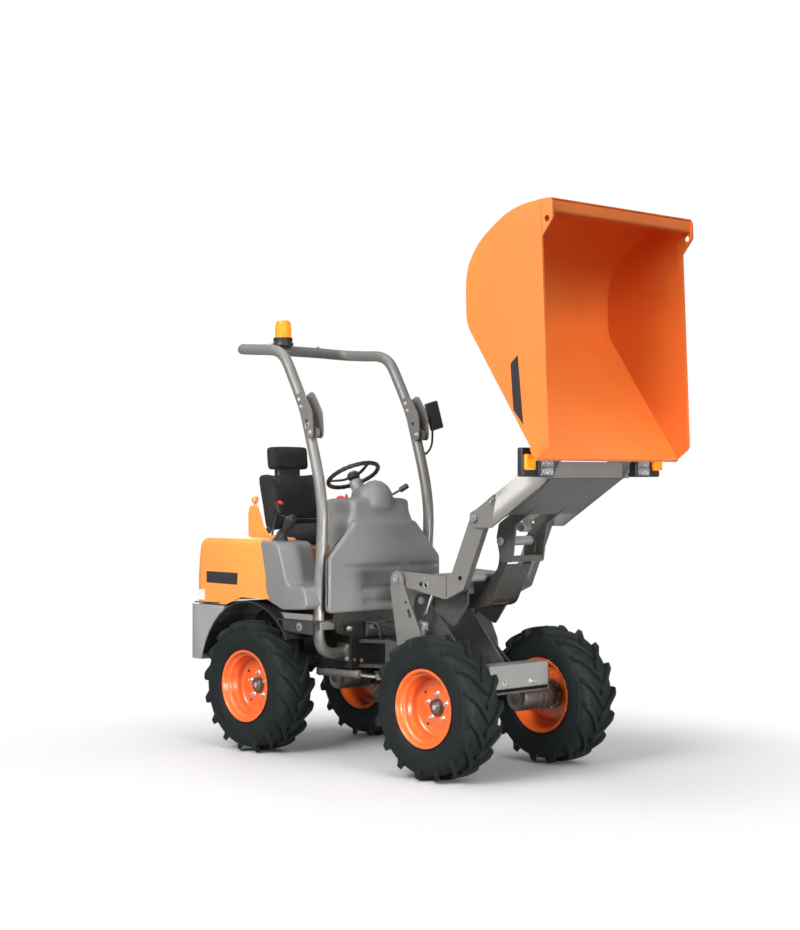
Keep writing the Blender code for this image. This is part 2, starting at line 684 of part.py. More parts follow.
def make_lift_link():
    x0, z0 = LIFT_X + LINK_DX, LIFT_UP + LINK_DZ
    x1, z1 = TOP_X + LINK_DX, TOP_Z + LINK_DZ
    outline = rounded([
        (x0 - 0.036, z0 + 0.036, 0.034), (x0 - 0.036, z0 - 0.036, 0.034),
        (x0 + 0.300, z0 - 0.040, 0.10), (x0 + 0.500, z0 - 0.005, 0.07),
        (x1 + 0.036, z1 - 0.060, 0.10), (x1 + 0.036, z1 + 0.036, 0.034), (x1 - 0.036, z1 + 0.036, 0.034),
        (x1 - 0.050, z1 - 0.140, 0.10), (x0 + 0.430, z0 + 0.050, 0.06), (x0 + 0.200, z0 + 0.036, 0.06)])
    cheek = 0.012
    link = side_plate("link", [outline], -LINK_HALF + cheek / 2, cheek)
    other = side_plate("link_other", [outline], LINK_HALF - cheek / 2, cheek)
    join(link, other)
    for x, z in ((x0, z0), (x1, z1)):
        join(link, cross_rod("link_boss", x, z, 0.024, LINK_HALF - 0.001),
             cross_rod("link_pin", x, z, PIN_RADIUS, TOWER_MID + PLATE / 2 + 0.006))
    web = side_plate("web", [rounded([
        (x0 + 0.08, z0 - 0.030, 0.0), (x0 + 0.300, z0 - 0.034, 0.10), (x0 + 0.497, z0 + 0.003, 0.07),
        (x1 + 0.005, z1 - 0.130, 0.0), (x1 - 0.005, z1 - 0.126, 0.0), (x0 + 0.490, z0 + 0.012, 0.07),
        (x0 + 0.300, z0 - 0.022, 0.10), (x0 + 0.08, z0 - 0.018, 0.0)])], 0.0, 2 * LINK_HALF - 0.002)
    join(link, web)
    return part(link, "lift_link", "dark", LINK)


def make_lift_frame():
    ear_x, ear_z = TOP_X + LINK_DX, TOP_Z + LINK_DZ
    frame = None
    for side in (-1, 1):
        cheek = side_plate("frame_cheek", [
            rounded([(TOP_X - 0.044, TOP_Z + 0.030, 0.03), (TOP_X - 0.030, TOP_Z - 0.050, 0.03),
                     (TOP_X + 0.115, TOP_Z - 0.050, 0.02), (SKIP_X - 0.030, SKIP_Z - 0.130, 0.0),
                     (SKIP_X + 0.022, SKIP_Z - 0.035, 0.02), (SKIP_X + 0.010, SKIP_Z + 0.026, 0.02),
                     (SKIP_X - 0.040, SKIP_Z + 0.016, 0.02), (TOP_X + 0.285, TOP_Z + 0.215, 0.05),
                     (TOP_X, TOP_Z + 0.044, 0.03)]),
            circle(TOP_X, TOP_Z, PIN_RADIUS + PIN_GAP)],
            side * OUTER_PLATE, PLATE)
        ear = side_plate("ear", [
            rounded([(ear_x - 0.042, ear_z + 0.02, 0.02), (ear_x - 0.012, ear_z - 0.114, 0.02),
                     (ear_x + 0.070, ear_z - 0.114, 0.015), (ear_x + 0.10, TOP_Z - 0.035, 0.0),
                     (SKIP_X - 0.06, SKIP_Z - 0.142, 0.0), (SKIP_X - 0.06, SKIP_Z - 0.08, 0.0),
                     (TOP_X + 0.15, TOP_Z + 0.05, 0.03), (TOP_X + 0.02, TOP_Z - 0.03, 0.02)]),
            circle(ear_x, ear_z, PIN_RADIUS + PIN_GAP)],
            side * EAR_MID, PLATE)
        hinge_pin = rod("skip_pin", (SKIP_X, side * OUTER_PLATE, SKIP_Z),
                        (SKIP_X, side * (SKIP_EAR_MID - PLATE), SKIP_Z), SKIP_PIN_RADIUS)
        if frame is None:
            frame = cheek
        else:
            join(frame, cheek)
        join(frame, ear, hinge_pin)
    sheet = side_plate("sheet", [[
        (TOP_X + 0.225, TOP_Z + 0.021), (SKIP_X - 0.040, SKIP_Z - 0.137),
        (SKIP_X - 0.044, SKIP_Z - 0.127), (TOP_X + 0.220, TOP_Z + 0.031)]], 0.0, 2 * OUTER_PLATE)
    front = box("front_panel", (SKIP_X - 0.046, -OUTER_PLATE - 0.050, SKIP_Z - 0.134),
                (SKIP_X - 0.036, OUTER_PLATE + 0.050, SKIP_Z - 0.048))
    tip_pin = cross_rod("tip_base_pin", TOP_X + TIP_BASE_DX, TOP_Z + TIP_BASE_DZ, PIN_RADIUS, EAR_MID)
    bar = side_plate("ear_bar", [rounded([
        (ear_x + 0.043, ear_z - 0.112, 0.004), (ear_x + 0.068, ear_z - 0.112, 0.004),
        (ear_x + 0.071, ear_z - 0.078, 0.004), (ear_x + 0.046, ear_z - 0.078, 0.004)])], 0.0, 2 * EAR_MID)
    join(frame, sheet, front, tip_pin, bar)
    for side in (-1, 1):
        block = side_plate("skip_stop", [[
            (TOP_X + 0.102, TOP_Z + 0.102), (TOP_X + 0.115, TOP_Z + 0.080), (TOP_X + 0.156, TOP_Z + 0.104),
            (TOP_X + 0.140, TOP_Z + 0.126)]], side * OUTER_PLATE, 0.030)
        join(frame, block)
    return part(frame, "lift_frame", "dark", TOP)


def lamp_block(name, x_range, y_range, z_range, side, corner):
    """A block with rounded corners seen from the front, its y range counted outward."""
    y0, y1 = sorted(side * y for y in y_range)
    outline = rounded([(y0, z_range[0], corner), (y1, z_range[0], corner), (y1, z_range[1], corner),
                       (y0, z_range[1], corner)])
    return face_plate(name, [outline], sum(x_range) / 2, x_range[1] - x_range[0])


def make_lamp(side):
    """A work lamp of two panes beside the taller block that carries the indicator."""
    word = "left" if side > 0 else "right"
    name = "lamp_" + word
    low, high = SKIP_Z + LAMP_LOW, SKIP_Z + LAMP_HIGH
    back = SKIP_X - 0.036 + TOUCH
    front = back + 0.060
    middle = (low + high) / 2
    lamp = lamp_block(name + "_housing", (back, front), (LAMP_INNER, LAMP_STEP), (low, high), side, 0.008)
    block = lamp_block(name + "_block", (back + 0.002, front - 0.018), (LAMP_STEP - 0.004, LAMP_OUTER),
                       (low + 0.001, high + 0.050), side, 0.012)
    panes = [lamp_block(name + "_pane", (front - 0.004, front + 0.006), (LAMP_INNER + 0.012, LAMP_STEP - 0.014), levels,
                        side, 0.006)
             for levels in ((low + 0.010, middle - 0.002), (middle + 0.002, high - 0.010))]
    bracket = box(name + "_bracket", (back, min(side * (OUTER_PLATE + 0.02), side * (LAMP_INNER + 0.01)), low + 0.02),
                  (back + 0.010, max(side * (OUTER_PLATE + 0.02), side * (LAMP_INNER + 0.01)), SKIP_Z - 0.05))
    join(lamp, block, *panes, bracket)
    part(lamp, name, "black", TOP)
    indicator_x = front - 0.018 + TOUCH
    level = middle + 0.026
    indicator = lamp_block("indicator_block", (indicator_x, indicator_x + 0.030), (LAMP_OUTER - 0.078, LAMP_OUTER - 0.004),
                           (level - INDICATOR_HALF, level + INDICATOR_HALF), side, 0.010)
    return part(indicator, "indicator_" + word, "amber", TOP)


# Skip

def skip_place(u, v):
    angle = math.radians(SKIP_MOUTH_ANGLE)
    x = SKIP_X + SKIP_LIP_DX + u * math.cos(angle) - v * math.sin(angle)
    z = SKIP_Z + SKIP_LIP_DZ + u * math.sin(angle) + v * math.cos(angle)
    return x, z


def inset_outline(corners, distance):
    """The open outline moved in by a wall, corner by corner."""
    points = [Vector(c[:2]) for c in corners]
    moved = []
    for index, point in enumerate(points):
        sides = []
        if index > 0:
            sides.append((point - points[index - 1]).normalized())
        if index < len(points) - 1:
            sides.append((points[index + 1] - point).normalized())
        normals = [Vector((side.y, -side.x)) for side in sides]
        normal = sum(normals, Vector((0, 0))).normalized()
        moved.append(point + normal * distance / max(normal.dot(normals[0]), 0.2))
    return [(p.x, p.y, max(c[2] - distance, 0.0)) for p, c in zip(moved, corners)]


def skip_floor(along, out):
    """A place up the sloping floor from the lip, and out from its inner face."""
    cos, sin = math.cos(SKIP_FLOOR_ANGLE), math.sin(SKIP_FLOOR_ANGLE)
    return skip_place(along * cos - out * sin, along * sin + out * cos)


def make_skip():
    edge = -SKIP_FRONT
    slope = [(0.0, 0.0, 0.0)] + SKIP_CORNERS + [(SKIP_MOUTH, edge, 0.0)]
    inner = inset_outline(slope, SKIP_WALL)
    points = [Vector(corner[:2]) for corner in inner]
    start = points[0] + (points[0] - points[1]).normalized() * 0.05
    end = points[-1] + (points[-1] - points[-2]).normalized() * 0.05
    hollow = [(start.x, start.y, 0.0)] + inner[1:-1] + [(end.x, end.y, 0.0), (start.x, end.y, 0.0)]
    outer = [skip_place(u, v) for u, v in rounded(slope + [(SKIP_CUT, edge, 0.0)], SKIP_FILLET_STEPS)]
    inside = [skip_place(u, v) for u, v in rounded(hollow, SKIP_FILLET_STEPS)]
    skip = side_plate("skip_shell", [outer], 0.0, 2 * SKIP_HALF)
    space = side_plate("skip_space", [inside], 0.0, 2 * (SKIP_HALF - SKIP_WALL))
    tube = [(SKIP_MOUTH - RIM_TUBE, edge - RIM_TUBE), (SKIP_MOUTH + 0.003, edge - RIM_TUBE),
            (SKIP_MOUTH + 0.003, edge + 0.010), (SKIP_MOUTH - RIM_TUBE, edge + 0.010)]
    rim = side_plate("skip_rim", [[skip_place(u, v) for u, v in rounded([(*corner, 0.014) for corner in tube])]],
                     0.0, 2 * SKIP_HALF - 0.002)
    lip = side_plate("skip_lip", [rounded([
        (*skip_floor(-0.006, -SKIP_WALL - 0.002), 0.004), (*skip_floor(0.070, -SKIP_WALL - 0.001), 0.0),
        (*skip_floor(0.060, LIP_THICK), 0.004), (*skip_floor(-0.006, LIP_THICK), 0.006)])], 0.0, 2 * SKIP_HALF - 0.004)
    cut(skip, space)
    join(skip, rim, lip)
    eye_x, eye_z = SKIP_X - TIP_EYE_BACK, SKIP_Z + TIP_EYE_UP
    for side in (-1, 1):
        ear = side_plate("skip_ear", [
            rounded([(*skip_floor(0.090, -0.002), 0.0), (*skip_floor(0.390, -0.002), 0.0),
                     (SKIP_X - 0.045, SKIP_Z + 0.10, 0.03), (SKIP_X - 0.030, SKIP_Z - 0.030, 0.028),
                     (SKIP_X + 0.030, SKIP_Z - 0.030, 0.028)]),
            circle(SKIP_X, SKIP_Z, SKIP_PIN_RADIUS + PIN_GAP)],
            side * SKIP_EAR_MID, PLATE)
        lug = side_plate("tip_lug", [
            rounded([(*skip_floor(0.200, -0.002), 0.0), (*skip_floor(0.430, -0.002), 0.0),
                     (eye_x - 0.032, eye_z - 0.006, 0.028), (eye_x - 0.004, eye_z - 0.036, 0.028)])],
            side * 0.036, 0.012)
        fold = side_plate("wall_fold", [[
            skip_place(SKIP_CUT + 0.008, edge - 0.004), skip_place(SKIP_CUT + 0.008, edge + 0.024),
            skip_place(SKIP_MOUTH - 0.012, edge + 0.024), skip_place(SKIP_MOUTH - 0.012, edge - 0.004)]],
            side * (SKIP_HALF - SKIP_WALL / 2), SKIP_WALL + 0.009)
        lifting = side_plate("lifting_eye", [
            rounded([(*skip_place(SKIP_MOUTH + 0.006, edge + 0.030), 0.0),
                     (*skip_place(SKIP_MOUTH + 0.006, edge - EYE_REACH), 0.025),
                     (*skip_place(SKIP_MOUTH - 0.100, edge - EYE_REACH), 0.025),
                     (*skip_place(SKIP_MOUTH - 0.190, edge + 0.002), 0.0),
                     (*skip_place(SKIP_MOUTH - 0.190, edge + 0.030), 0.0)]),
            circle(*skip_place(SKIP_MOUTH - 0.103, edge - 0.039), 0.014, 12)],
            side * (SKIP_HALF - 0.005), EYE_PLATE)
        join(skip, ear, lug, fold, lifting)
    return part(skip, "skip", "orange", SKIP)


# Cylinders

def make_cylinder(name, base, eye, barrel_length, stroke, radius, base_half, eye_half, parent,
                  axis=Vector((0, 1, 0))):
    """A barrel that turns on its base pin, and its chromed rod that slides in by its stroke."""
    base, eye = Vector(base), Vector(eye)
    along = (eye - base).normalized()
    bore_start = EYE_RADIUS + 0.012
    barrel = rod(name + "_body", base, base + along * barrel_length, radius)
    boss = rod(name + "_base_eye", base - axis * base_half, base + axis * base_half, EYE_RADIUS)
    join(barrel, boss)
    cut(barrel, rod(name + "_base_hole", base - axis * 0.2, base + axis * 0.2, PIN_RADIUS + PIN_GAP),
        rod(name + "_bore", base + along * bore_start, eye, ROD_RADIUS + TOUCH))
    pivot_base = pivot(name + "_barrel_pivot", base, parent)
    part(barrel, name + "_barrel", "dark", pivot_base)
    shaft = rod(name + "_shaft", base + along * (bore_start + stroke + MOVE_GAP), eye, ROD_RADIUS - TOUCH)
    head = rod(name + "_rod_eye", eye - axis * eye_half, eye + axis * eye_half, EYE_RADIUS - 0.004)
    join(shaft, head)
    part(shaft, name + "_rod", "chrome", pivot_base)


def make_cylinders():
    for side, word in ((-1, "right"), (1, "left")):
        base = (FRONT_AXLE_X + LIFT_BASE_DX, side * CYLINDER_MID, LIFT_BASE_Z)
        eye = (LIFT_X + LIFT_EYE_DX, side * CYLINDER_MID, LIFT_UP + LIFT_EYE_DZ)
        make_cylinder("lift_" + word, base, eye, 0.340, LIFT_STROKE, BARREL_RADIUS, 0.009, 0.018, FRONT)
    base = (TOP_X + TIP_BASE_DX, 0, TOP_Z + TIP_BASE_DZ)
    eye = (SKIP_X - TIP_EYE_BACK, 0, SKIP_Z + TIP_EYE_UP)
    make_cylinder("tip", base, eye, 0.400, TIP_STROKE, BARREL_RADIUS, 0.030, 0.026, TOP)
    base = (HINGE_X + STEER_BASE_DX, STEER_BASE_Y, STEER_Z)
    eye = (HINGE_X + STEER_EYE_DX, STEER_EYE_Y, STEER_Z)
    make_cylinder("steer", base, eye, 0.320, STEER_STROKE / 2, STEER_BARREL_RADIUS, 0.018, 0.018, ROOT,
                  axis=Vector((0, 0, 1)))


# Rear frame

def make_rear_frame():
    rear = REAR_AXLE_X
    front = HINGE_X + COWL_FRONT - COWL_DEPTH - 0.010
    rear_end = rear + WEIGHT_FACE + TOUCH
    skin = 0.008
    narrow, wide = RAIL_HALF + 0.016, 0.343
    frame = face_plate("bulkhead", [[
        (-narrow, UNDER_FORK), (narrow, UNDER_FORK), (narrow, ROPS_FOOT_Z + 0.095), (wide, ROPS_FOOT_Z + 0.120),
        (wide, FLOOR_Z - skin / 2), (-wide, FLOOR_Z - skin / 2), (-wide, ROPS_FOOT_Z + 0.120),
        (-narrow, ROPS_FOOT_Z + 0.095)]], front - 0.007, 0.014)
    for side in (-1, 1):
        rail = side_plate("rear_rail", [rounded([
            (rear_end, 0.460, 0.0), (rear + 0.200, 0.460, 0.0), (rear + 0.250, UNDER_FORK, 0.0),
            (front - 0.002, UNDER_FORK, 0.0), (front - 0.002, FLOOR_Z - skin / 2, 0.0),
            (rear - 0.190, FLOOR_Z - skin / 2, 0.0), (rear - 0.240, RAIL_TOP, 0.0), (rear_end, RAIL_TOP, 0.0)])],
            side * (RAIL_HALF + PLATE / 2), PLATE)
        motor_hole = rod("rear_motor_hole", (rear, side * 0.15, TYRE_RADIUS), (rear, side * 0.40, TYRE_RADIUS),
                         MOTOR_RADIUS + TOUCH * 3)
        skirt = side_plate("step_plate", [[
            (rear + 0.320, FLOOR_Z - 0.045), (front - 0.002, FLOOR_Z - 0.070), (front - 0.002, FLOOR_Z - skin / 2),
            (rear + 0.320, FLOOR_Z - skin / 2)]], side * 0.339, PLATE)
        join(frame, rail, skirt)
        cut(frame, motor_hole)
    step_front = HINGE_X + COWL_FRONT - 0.020
    notch = ROPS_RADIUS + MOVE_GAP
    post_in, post_out = ROPS_HALF - notch, ROPS_HALF + notch
    post_back = HINGE_X - ROPS_BACK - notch - 0.017
    plan = []
    for side in (-1, 1):
        half = [(rear - 0.185, SEAT_HALF + 0.002), (rear + 0.275, SEAT_HALF + 0.002), (rear + 0.275, BODY_HALF - 0.004),
                (step_front, BODY_HALF - 0.004), (step_front, post_out), (post_back, post_out), (post_back, post_in),
                (front, post_in)]
        plan += [(x, side * y) for x, y in (half if side < 0 else reversed(half))]
    engine_hole = [(rear - 0.150, -0.195), (rear + 0.215, -0.195), (rear + 0.215, 0.195), (rear - 0.150, 0.195)]
    floor = floor_plate("floor", [plan, engine_hole], FLOOR_Z - skin / 2, skin)
    cross = box("cross", (rear + 0.235, -0.320, UNDER_FORK), (rear + 0.247, 0.320, FLOOR_Z - skin / 2))
    bed = box("engine_bed", (rear - 0.20, -RAIL_HALF - 0.001, 0.500), (rear + 0.236, RAIL_HALF + 0.001, 0.512))
    join(frame, floor, cross, bed)
    flange_x = HINGE_X + COWL_FRONT - COWL_DEPTH
    toe = side_plate("cowl_flange", [[
        (front - 0.002, FLOOR_Z - 0.020), (flange_x + 0.013, FLOOR_Z - 0.020), (flange_x + 0.013, COWL_LOW - TOUCH),
        (flange_x + 0.001, COWL_LOW - TOUCH), (flange_x + 0.001, FLOOR_Z - 0.003), (front - 0.002, FLOOR_Z - 0.003)]],
        0.0, 2 * (post_in - 0.005))
    join(frame, toe)
    for z in (FORK_LOW, FORK_HIGH):
        fork = floor_plate("fork", [
            rounded([(front - 0.013, -0.17, 0.0), (front - 0.001, -0.17, 0.0), (HINGE_X + 0.045, -0.055, 0.045),
                     (HINGE_X + 0.045, 0.055, 0.045), (front - 0.001, 0.17, 0.0), (front - 0.013, 0.17, 0.0)])],
            z, FORK_PLATE)
        join(frame, fork)
    king_pin = rod("king_pin", (HINGE_X, 0, FORK_LOW - 0.022), (HINGE_X, 0, FORK_HIGH + 0.022), 0.025)
    x = HINGE_X + STEER_BASE_DX
    base_lug = box("steer_base_lug", (x - 0.030, STEER_BASE_Y - 0.030, STEER_Z + 0.022), (x + 0.030, -0.200, UNDER_FORK + 0.004))
    pin = rod("steer_base_pin", (x, STEER_BASE_Y, STEER_Z - 0.024), (x, STEER_BASE_Y, STEER_Z + 0.030), PIN_RADIUS)
    join(frame, king_pin, base_lug, pin)
    return part(frame, "rear_frame", "dark", ROOT)


def arch_outline(grow, first, last):
    """Points on the wheel arch from one step to another, twenty steps making its half turn."""
    way = 1 if last > first else -1
    angles = [math.pi * i / ARCH_STEPS for i in range(first, last + way, way)]
    return [(REAR_AXLE_X + (ARCH_X_RADIUS + grow) * math.cos(a),
             ARCH_CENTRE_Z + (ARCH_Z_RADIUS + grow) * math.sin(a)) for a in angles]


def make_mudguard(side):
    word = "left" if side > 0 else "right"
    inside = SEAT_HALF + 0.010
    ring = arch_outline(0.0, 4, 18) + arch_outline(-ARCH_PLATE, 18, 4)
    guard = side_plate("arch", [ring], side * (inside + BODY_HALF) / 2, BODY_HALF - inside)
    return part(guard, "mudguard_" + word, "black", ROOT)


def make_counterweight():
    rear = REAR_AXLE_X
    low, high = WEIGHT_BOTTOM, HOOD_BOTTOM - MOVE_GAP
    inside = SEAT_HALF + 0.010 - TOUCH
    plan = rounded([
        (rear - 0.220, -BODY_HALF, 0.0), (rear + WEIGHT_REAR + 0.090, -BODY_HALF, 0.10), (rear + WEIGHT_REAR, -0.33, 0.20),
        (rear + WEIGHT_REAR, 0.33, 0.20), (rear + WEIGHT_REAR + 0.090, BODY_HALF, 0.10), (rear - 0.220, BODY_HALF, 0.0),
        (rear - 0.220, inside, 0.0), (rear + WEIGHT_FACE, inside, 0.0), (rear + WEIGHT_FACE, -inside, 0.0),
        (rear - 0.220, -inside, 0.0)])
    weight = floor_plate("weight", [plan], (low + high) / 2, high - low)
    for side in (-1, 1):
        cheek = side_plate("arch_space", [arch_outline(TOUCH, 0, ARCH_STEPS) + [
            (rear - ARCH_X_RADIUS - TOUCH, 0.2), (rear + ARCH_X_RADIUS, 0.2)]],
            side * (BODY_HALF + 0.1 + inside - 0.010) / 2, BODY_HALF + 0.1 - inside + 0.010)
        hinge = side_plate("hood_hinge", [rounded([
            (HOOD_PIVOT_X - 0.013, HOOD_PIVOT_Z + 0.013, 0.007), (HOOD_PIVOT_X - 0.013, high - 0.010, 0.0),
            (HOOD_PIVOT_X + 0.030, high - 0.010, 0.0), (HOOD_PIVOT_X + 0.013, HOOD_PIVOT_Z + 0.013, 0.007)])],
            side * HOOD_HINGE_Y, 0.020)
        pin = rod("hood_pin", (HOOD_PIVOT_X, side * (HOOD_HINGE_Y - 0.028), HOOD_PIVOT_Z),
                  (HOOD_PIVOT_X, side * (HOOD_HINGE_Y + 0.028), HOOD_PIVOT_Z), HOOD_PIN_RADIUS, segments=PIN_SEGMENTS)
        cut(weight, cheek)
        join(weight, hinge, pin)
    return part(weight, "counterweight", "weight_grey", ROOT)


def hood_form(name, corners, wall):
    """The hood's side view, its view from the front and its plan, each rounded, and what they share."""
    half, top = BODY_HALF - wall, HOOD_TOP - wall + TOUCH
    back, front = REAR_AXLE_X + HOOD_REAR_LOW + wall - TOUCH, REAR_AXLE_X + HOOD_FRONT_LOW + 0.100
    across = rounded([(-half, HOOD_BOTTOM - 0.200, 0.0), (half, HOOD_BOTTOM - 0.200, 0.0),
                      (half, top, HOOD_EDGE - wall), (-half, top, HOOD_EDGE - wall)], 4)
    plan = rounded([(back, -half - TOUCH, HOOD_CORNER - wall), (front, -half - TOUCH, 0.0), (front, half + TOUCH, 0.0),
                    (back, half + TOUCH, HOOD_CORNER - wall)], 5)
    form = side_plate(name, [rounded(corners)], 0.0, 2 * half + 0.020)
    return boolean(form, "INTERSECT", [face_plate(name + "_across", [across], (back + front) / 2, front - back + 0.020),
                                       floor_plate(name + "_plan", [plan], HOOD_BOTTOM + 0.200, 0.900)])


def make_hood():
    rear = REAR_AXLE_X
    low, top = HOOD_BOTTOM, HOOD_TOP
    below = low - 0.100
    rear_slope = (HOOD_REAR_TOP - HOOD_REAR_LOW) / (top - low)
    front_slope = (HOOD_FRONT_TOP - HOOD_FRONT_LOW) / (top - low - 0.050)
    wall = HOOD_WALL
    hood = hood_form("hood_shell", [
        (rear + HOOD_REAR_LOW, low, 0.0), (rear - 0.200, low, 0.0), (rear - 0.050, low + 0.050, 0.0),
        (rear + HOOD_FRONT_LOW, low + 0.050, 0.0), (rear + HOOD_FRONT_TOP, top, 0.035), (rear + HOOD_REAR_TOP, top, 0.07)],
        0.0)
    space = hood_form("hood_space", [
        (rear + HOOD_REAR_LOW + wall + rear_slope * (below - low), below, 0.0),
        (rear + HOOD_FRONT_LOW - wall + front_slope * (below - low - 0.050), below, 0.0),
        (rear + HOOD_FRONT_TOP - wall, top - wall, 0.030), (rear + HOOD_REAR_TOP + wall, top - wall, 0.064)], wall)
    bay = box("seat_bay", (rear + SEAT_BAY_BACK, -SEAT_BAY_HALF, below), (rear + 0.4, SEAT_BAY_HALF, top + 0.1))
    cut(hood, space, bay)
    for side in (-1, 1):
        notch = [side * (HOOD_HINGE_Y - 0.016), side * (HOOD_HINGE_Y + 0.016)]
        cut(hood, box("hinge_notch", (rear + HOOD_REAR_LOW - 0.01, min(notch), low - 0.01),
                      (HOOD_PIVOT_X + 0.020, max(notch), HOOD_PIVOT_Z + 0.019)))
        for offset in (-0.022, 0.022):
            lug = side_plate("hood_lug", [
                rounded([(HOOD_PIVOT_X - 0.014, HOOD_PIVOT_Z + 0.040, 0.0), (HOOD_PIVOT_X - 0.014, HOOD_PIVOT_Z - 0.014, 0.0),
                         (HOOD_PIVOT_X + 0.014, HOOD_PIVOT_Z - 0.014, 0.013),
                         (HOOD_PIVOT_X + 0.014, HOOD_PIVOT_Z + 0.020, 0.010)])], side * HOOD_HINGE_Y + offset, 0.010)
            join(hood, lug)
        cut(hood, rod("hood_pin_hole", (HOOD_PIVOT_X, side * (HOOD_HINGE_Y - 0.040), HOOD_PIVOT_Z),
                      (HOOD_PIVOT_X, side * (HOOD_HINGE_Y + 0.040), HOOD_PIVOT_Z), HOOD_PIN_RADIUS + PIN_GAP,
                      segments=PIN_SEGMENTS))
    return part(hood, "hood", "orange", HOOD)


def make_side_panel(side):
    rear = REAR_AXLE_X
    word = "left" if side > 0 else "right"
    gap = MOVE_GAP
    inside = SEAT_BAY_HALF + 0.012
    low = FLOOR_Z + TOUCH
    panel = side_plate("panel", [rounded([
        (rear + 0.199, 1.085, 0.0), (rear + HOOD_FRONT_LOW + gap + 0.012, HOOD_BOTTOM + 0.010, 0.0),
        (rear + 0.262, low, 0.0), (rear + 0.500, low, 0.0),
        (rear + 0.512, 0.900, 0.02), (rear + 0.575, 0.975, 0.01), (rear + 0.600, 0.985, 0.01),
        (rear + 0.510, HOOD_TOP - 0.026, 0.02), (rear + HOOD_FRONT_TOP + gap + 0.004, HOOD_TOP - 0.026, 0.0)])],
        side * (inside + BODY_HALF) / 2, BODY_HALF - inside)
    notch = ROPS_RADIUS + MOVE_GAP
    y0, y1 = sorted((side * 0.1, side * (ROPS_HALF + notch)))
    cut(panel, box("post_notch", (HINGE_X - 0.270 - notch, y0, low - 0.1), (rear + 0.7, y1, HOOD_TOP)))
    return part(panel, "side_panel_" + word, "plastic", ROOT)


def cowl_outline(inset):
    half, top_half = COWL_HALF - inset, COWL_TOP_HALF - inset * 0.6
    right = [(half, COWL_LOW + inset, 0.02), (half, COWL_SHOULDER - inset * 0.4, 0.04), (top_half, COWL_TOP - inset, 0.03)]
    return rounded(right + [(-across, up, radius) for across, up, radius in reversed(right)])


def make_cowl():
    """The moulded front panel, hollow behind, with pressed bars across its face."""
    x1 = HINGE_X + COWL_FRONT
    middle = x1 - COWL_DEPTH / 2
    cowl = face_plate("cowl_shell", [cowl_outline(0.0)], middle, COWL_DEPTH)
    bevel = cowl.modifiers.new("moulded_edge", "BEVEL")
    bevel.width = 0.010
    bevel.segments = 2
    bevel.limit_method = "ANGLE"
    bevel.angle_limit = math.radians(60)
    cut(cowl, face_plate("cowl_space", [cowl_outline(COWL_WALL / 2)], middle - COWL_WALL, COWL_DEPTH))
    for low_y, high_y, level in RIBS:
        bar = rounded([(low_y, level - RIB_HALF, 0.010), (high_y, level - RIB_HALF, 0.010),
                       (high_y, level + RIB_HALF, 0.010), (low_y, level + RIB_HALF, 0.010)])
        cut(cowl, face_plate("pressed_bar", [bar], x1 + 0.010, 2 * (0.010 + RIB_DEPTH)))
    return part(cowl, "front_cowl", "plastic", ROOT)


def make_dash():
    """The console behind the cowl, with the domed instrument pod and the steering column."""
    x1 = HINGE_X + COWL_FRONT - COWL_DEPTH - TOUCH
    x0 = x1 - DASH_DEPTH
    low = FLOOR_Z + TOUCH
    right = [(0.200, low, 0.0), (0.279, COWL_SHOULDER + 0.030, 0.06), (COWL_TOP_HALF + 0.015, COWL_TOP, 0.05),
             (0.190, DASH_TOP, 0.035)]
    outline = rounded(right + [(-across, up, radius) for across, up, radius in reversed(right)])
    dash = face_plate("dash_shell", [outline], (x0 + x1) / 2, x1 - x0)
    bm = bmesh.new()
    bmesh.ops.create_uvsphere(bm, u_segments=SEGMENTS, v_segments=8, radius=1.0)
    bm.transform(Matrix.Translation((x1 - 0.055, 0.0, POD_UP)) @ Matrix.Diagonal((*POD_SIZE, 1.0)))
    pod = new_object("pod", bm)
    column = rod("column", WHEEL_HUB - WHEEL_AXIS * 0.300, WHEEL_HUB - WHEEL_AXIS * 0.030, 0.030)
    join(dash, pod, column)
    return part(dash, "dash", "plastic", ROOT)


WHEEL_TILT = math.radians(28)
WHEEL_AXIS = Vector((-math.sin(WHEEL_TILT), 0.0, math.cos(WHEEL_TILT)))
WHEEL_HUB = Vector((HINGE_X - 0.430, 0.0, 1.635))
WHEEL_RADIUS = 0.170


def make_steering_wheel():
    hub = WHEEL_HUB
    bm = bmesh.new()
    major, minor = 28, 8
    turn = WHEEL_AXIS.to_track_quat("Z", "Y").to_matrix().to_4x4()
    rings = []
    for i in range(major):
        a = 2 * math.pi * i / major
        ring = []
        for j in range(minor):
            b = 2 * math.pi * j / minor
            r = WHEEL_RADIUS - 0.013 + 0.013 * math.cos(b)
            ring.append(bm.verts.new((r * math.cos(a), r * math.sin(a), 0.013 * math.sin(b))))
        rings.append(ring)
    for ring, following in zip(rings, rings[1:] + rings[:1]):
        for j in range(minor):
            k = (j + 1) % minor
            bm.faces.new((ring[j], following[j], following[k], ring[k]))
    bm.transform(Matrix.Translation(hub) @ turn)
    wheel = new_object("wheel_ring", bm)
    centre = rod("wheel_hub", hub - WHEEL_AXIS * (0.030 - TOUCH), hub + WHEEL_AXIS * 0.022, 0.038)
    join(wheel, centre)
    for spoke in range(3):
        angle = math.radians(90 + 120 * spoke)
        direction = turn @ Vector((math.cos(angle), math.sin(angle), 0.0))
        join(wheel, rod("spoke", hub + direction * 0.02 - WHEEL_AXIS * 0.008, hub + direction * (WHEEL_RADIUS - 0.013), 0.009,
                        segments=10))
    return part(wheel, "steering_wheel", "black", pivot("steering_wheel_pivot", hub, ROOT))


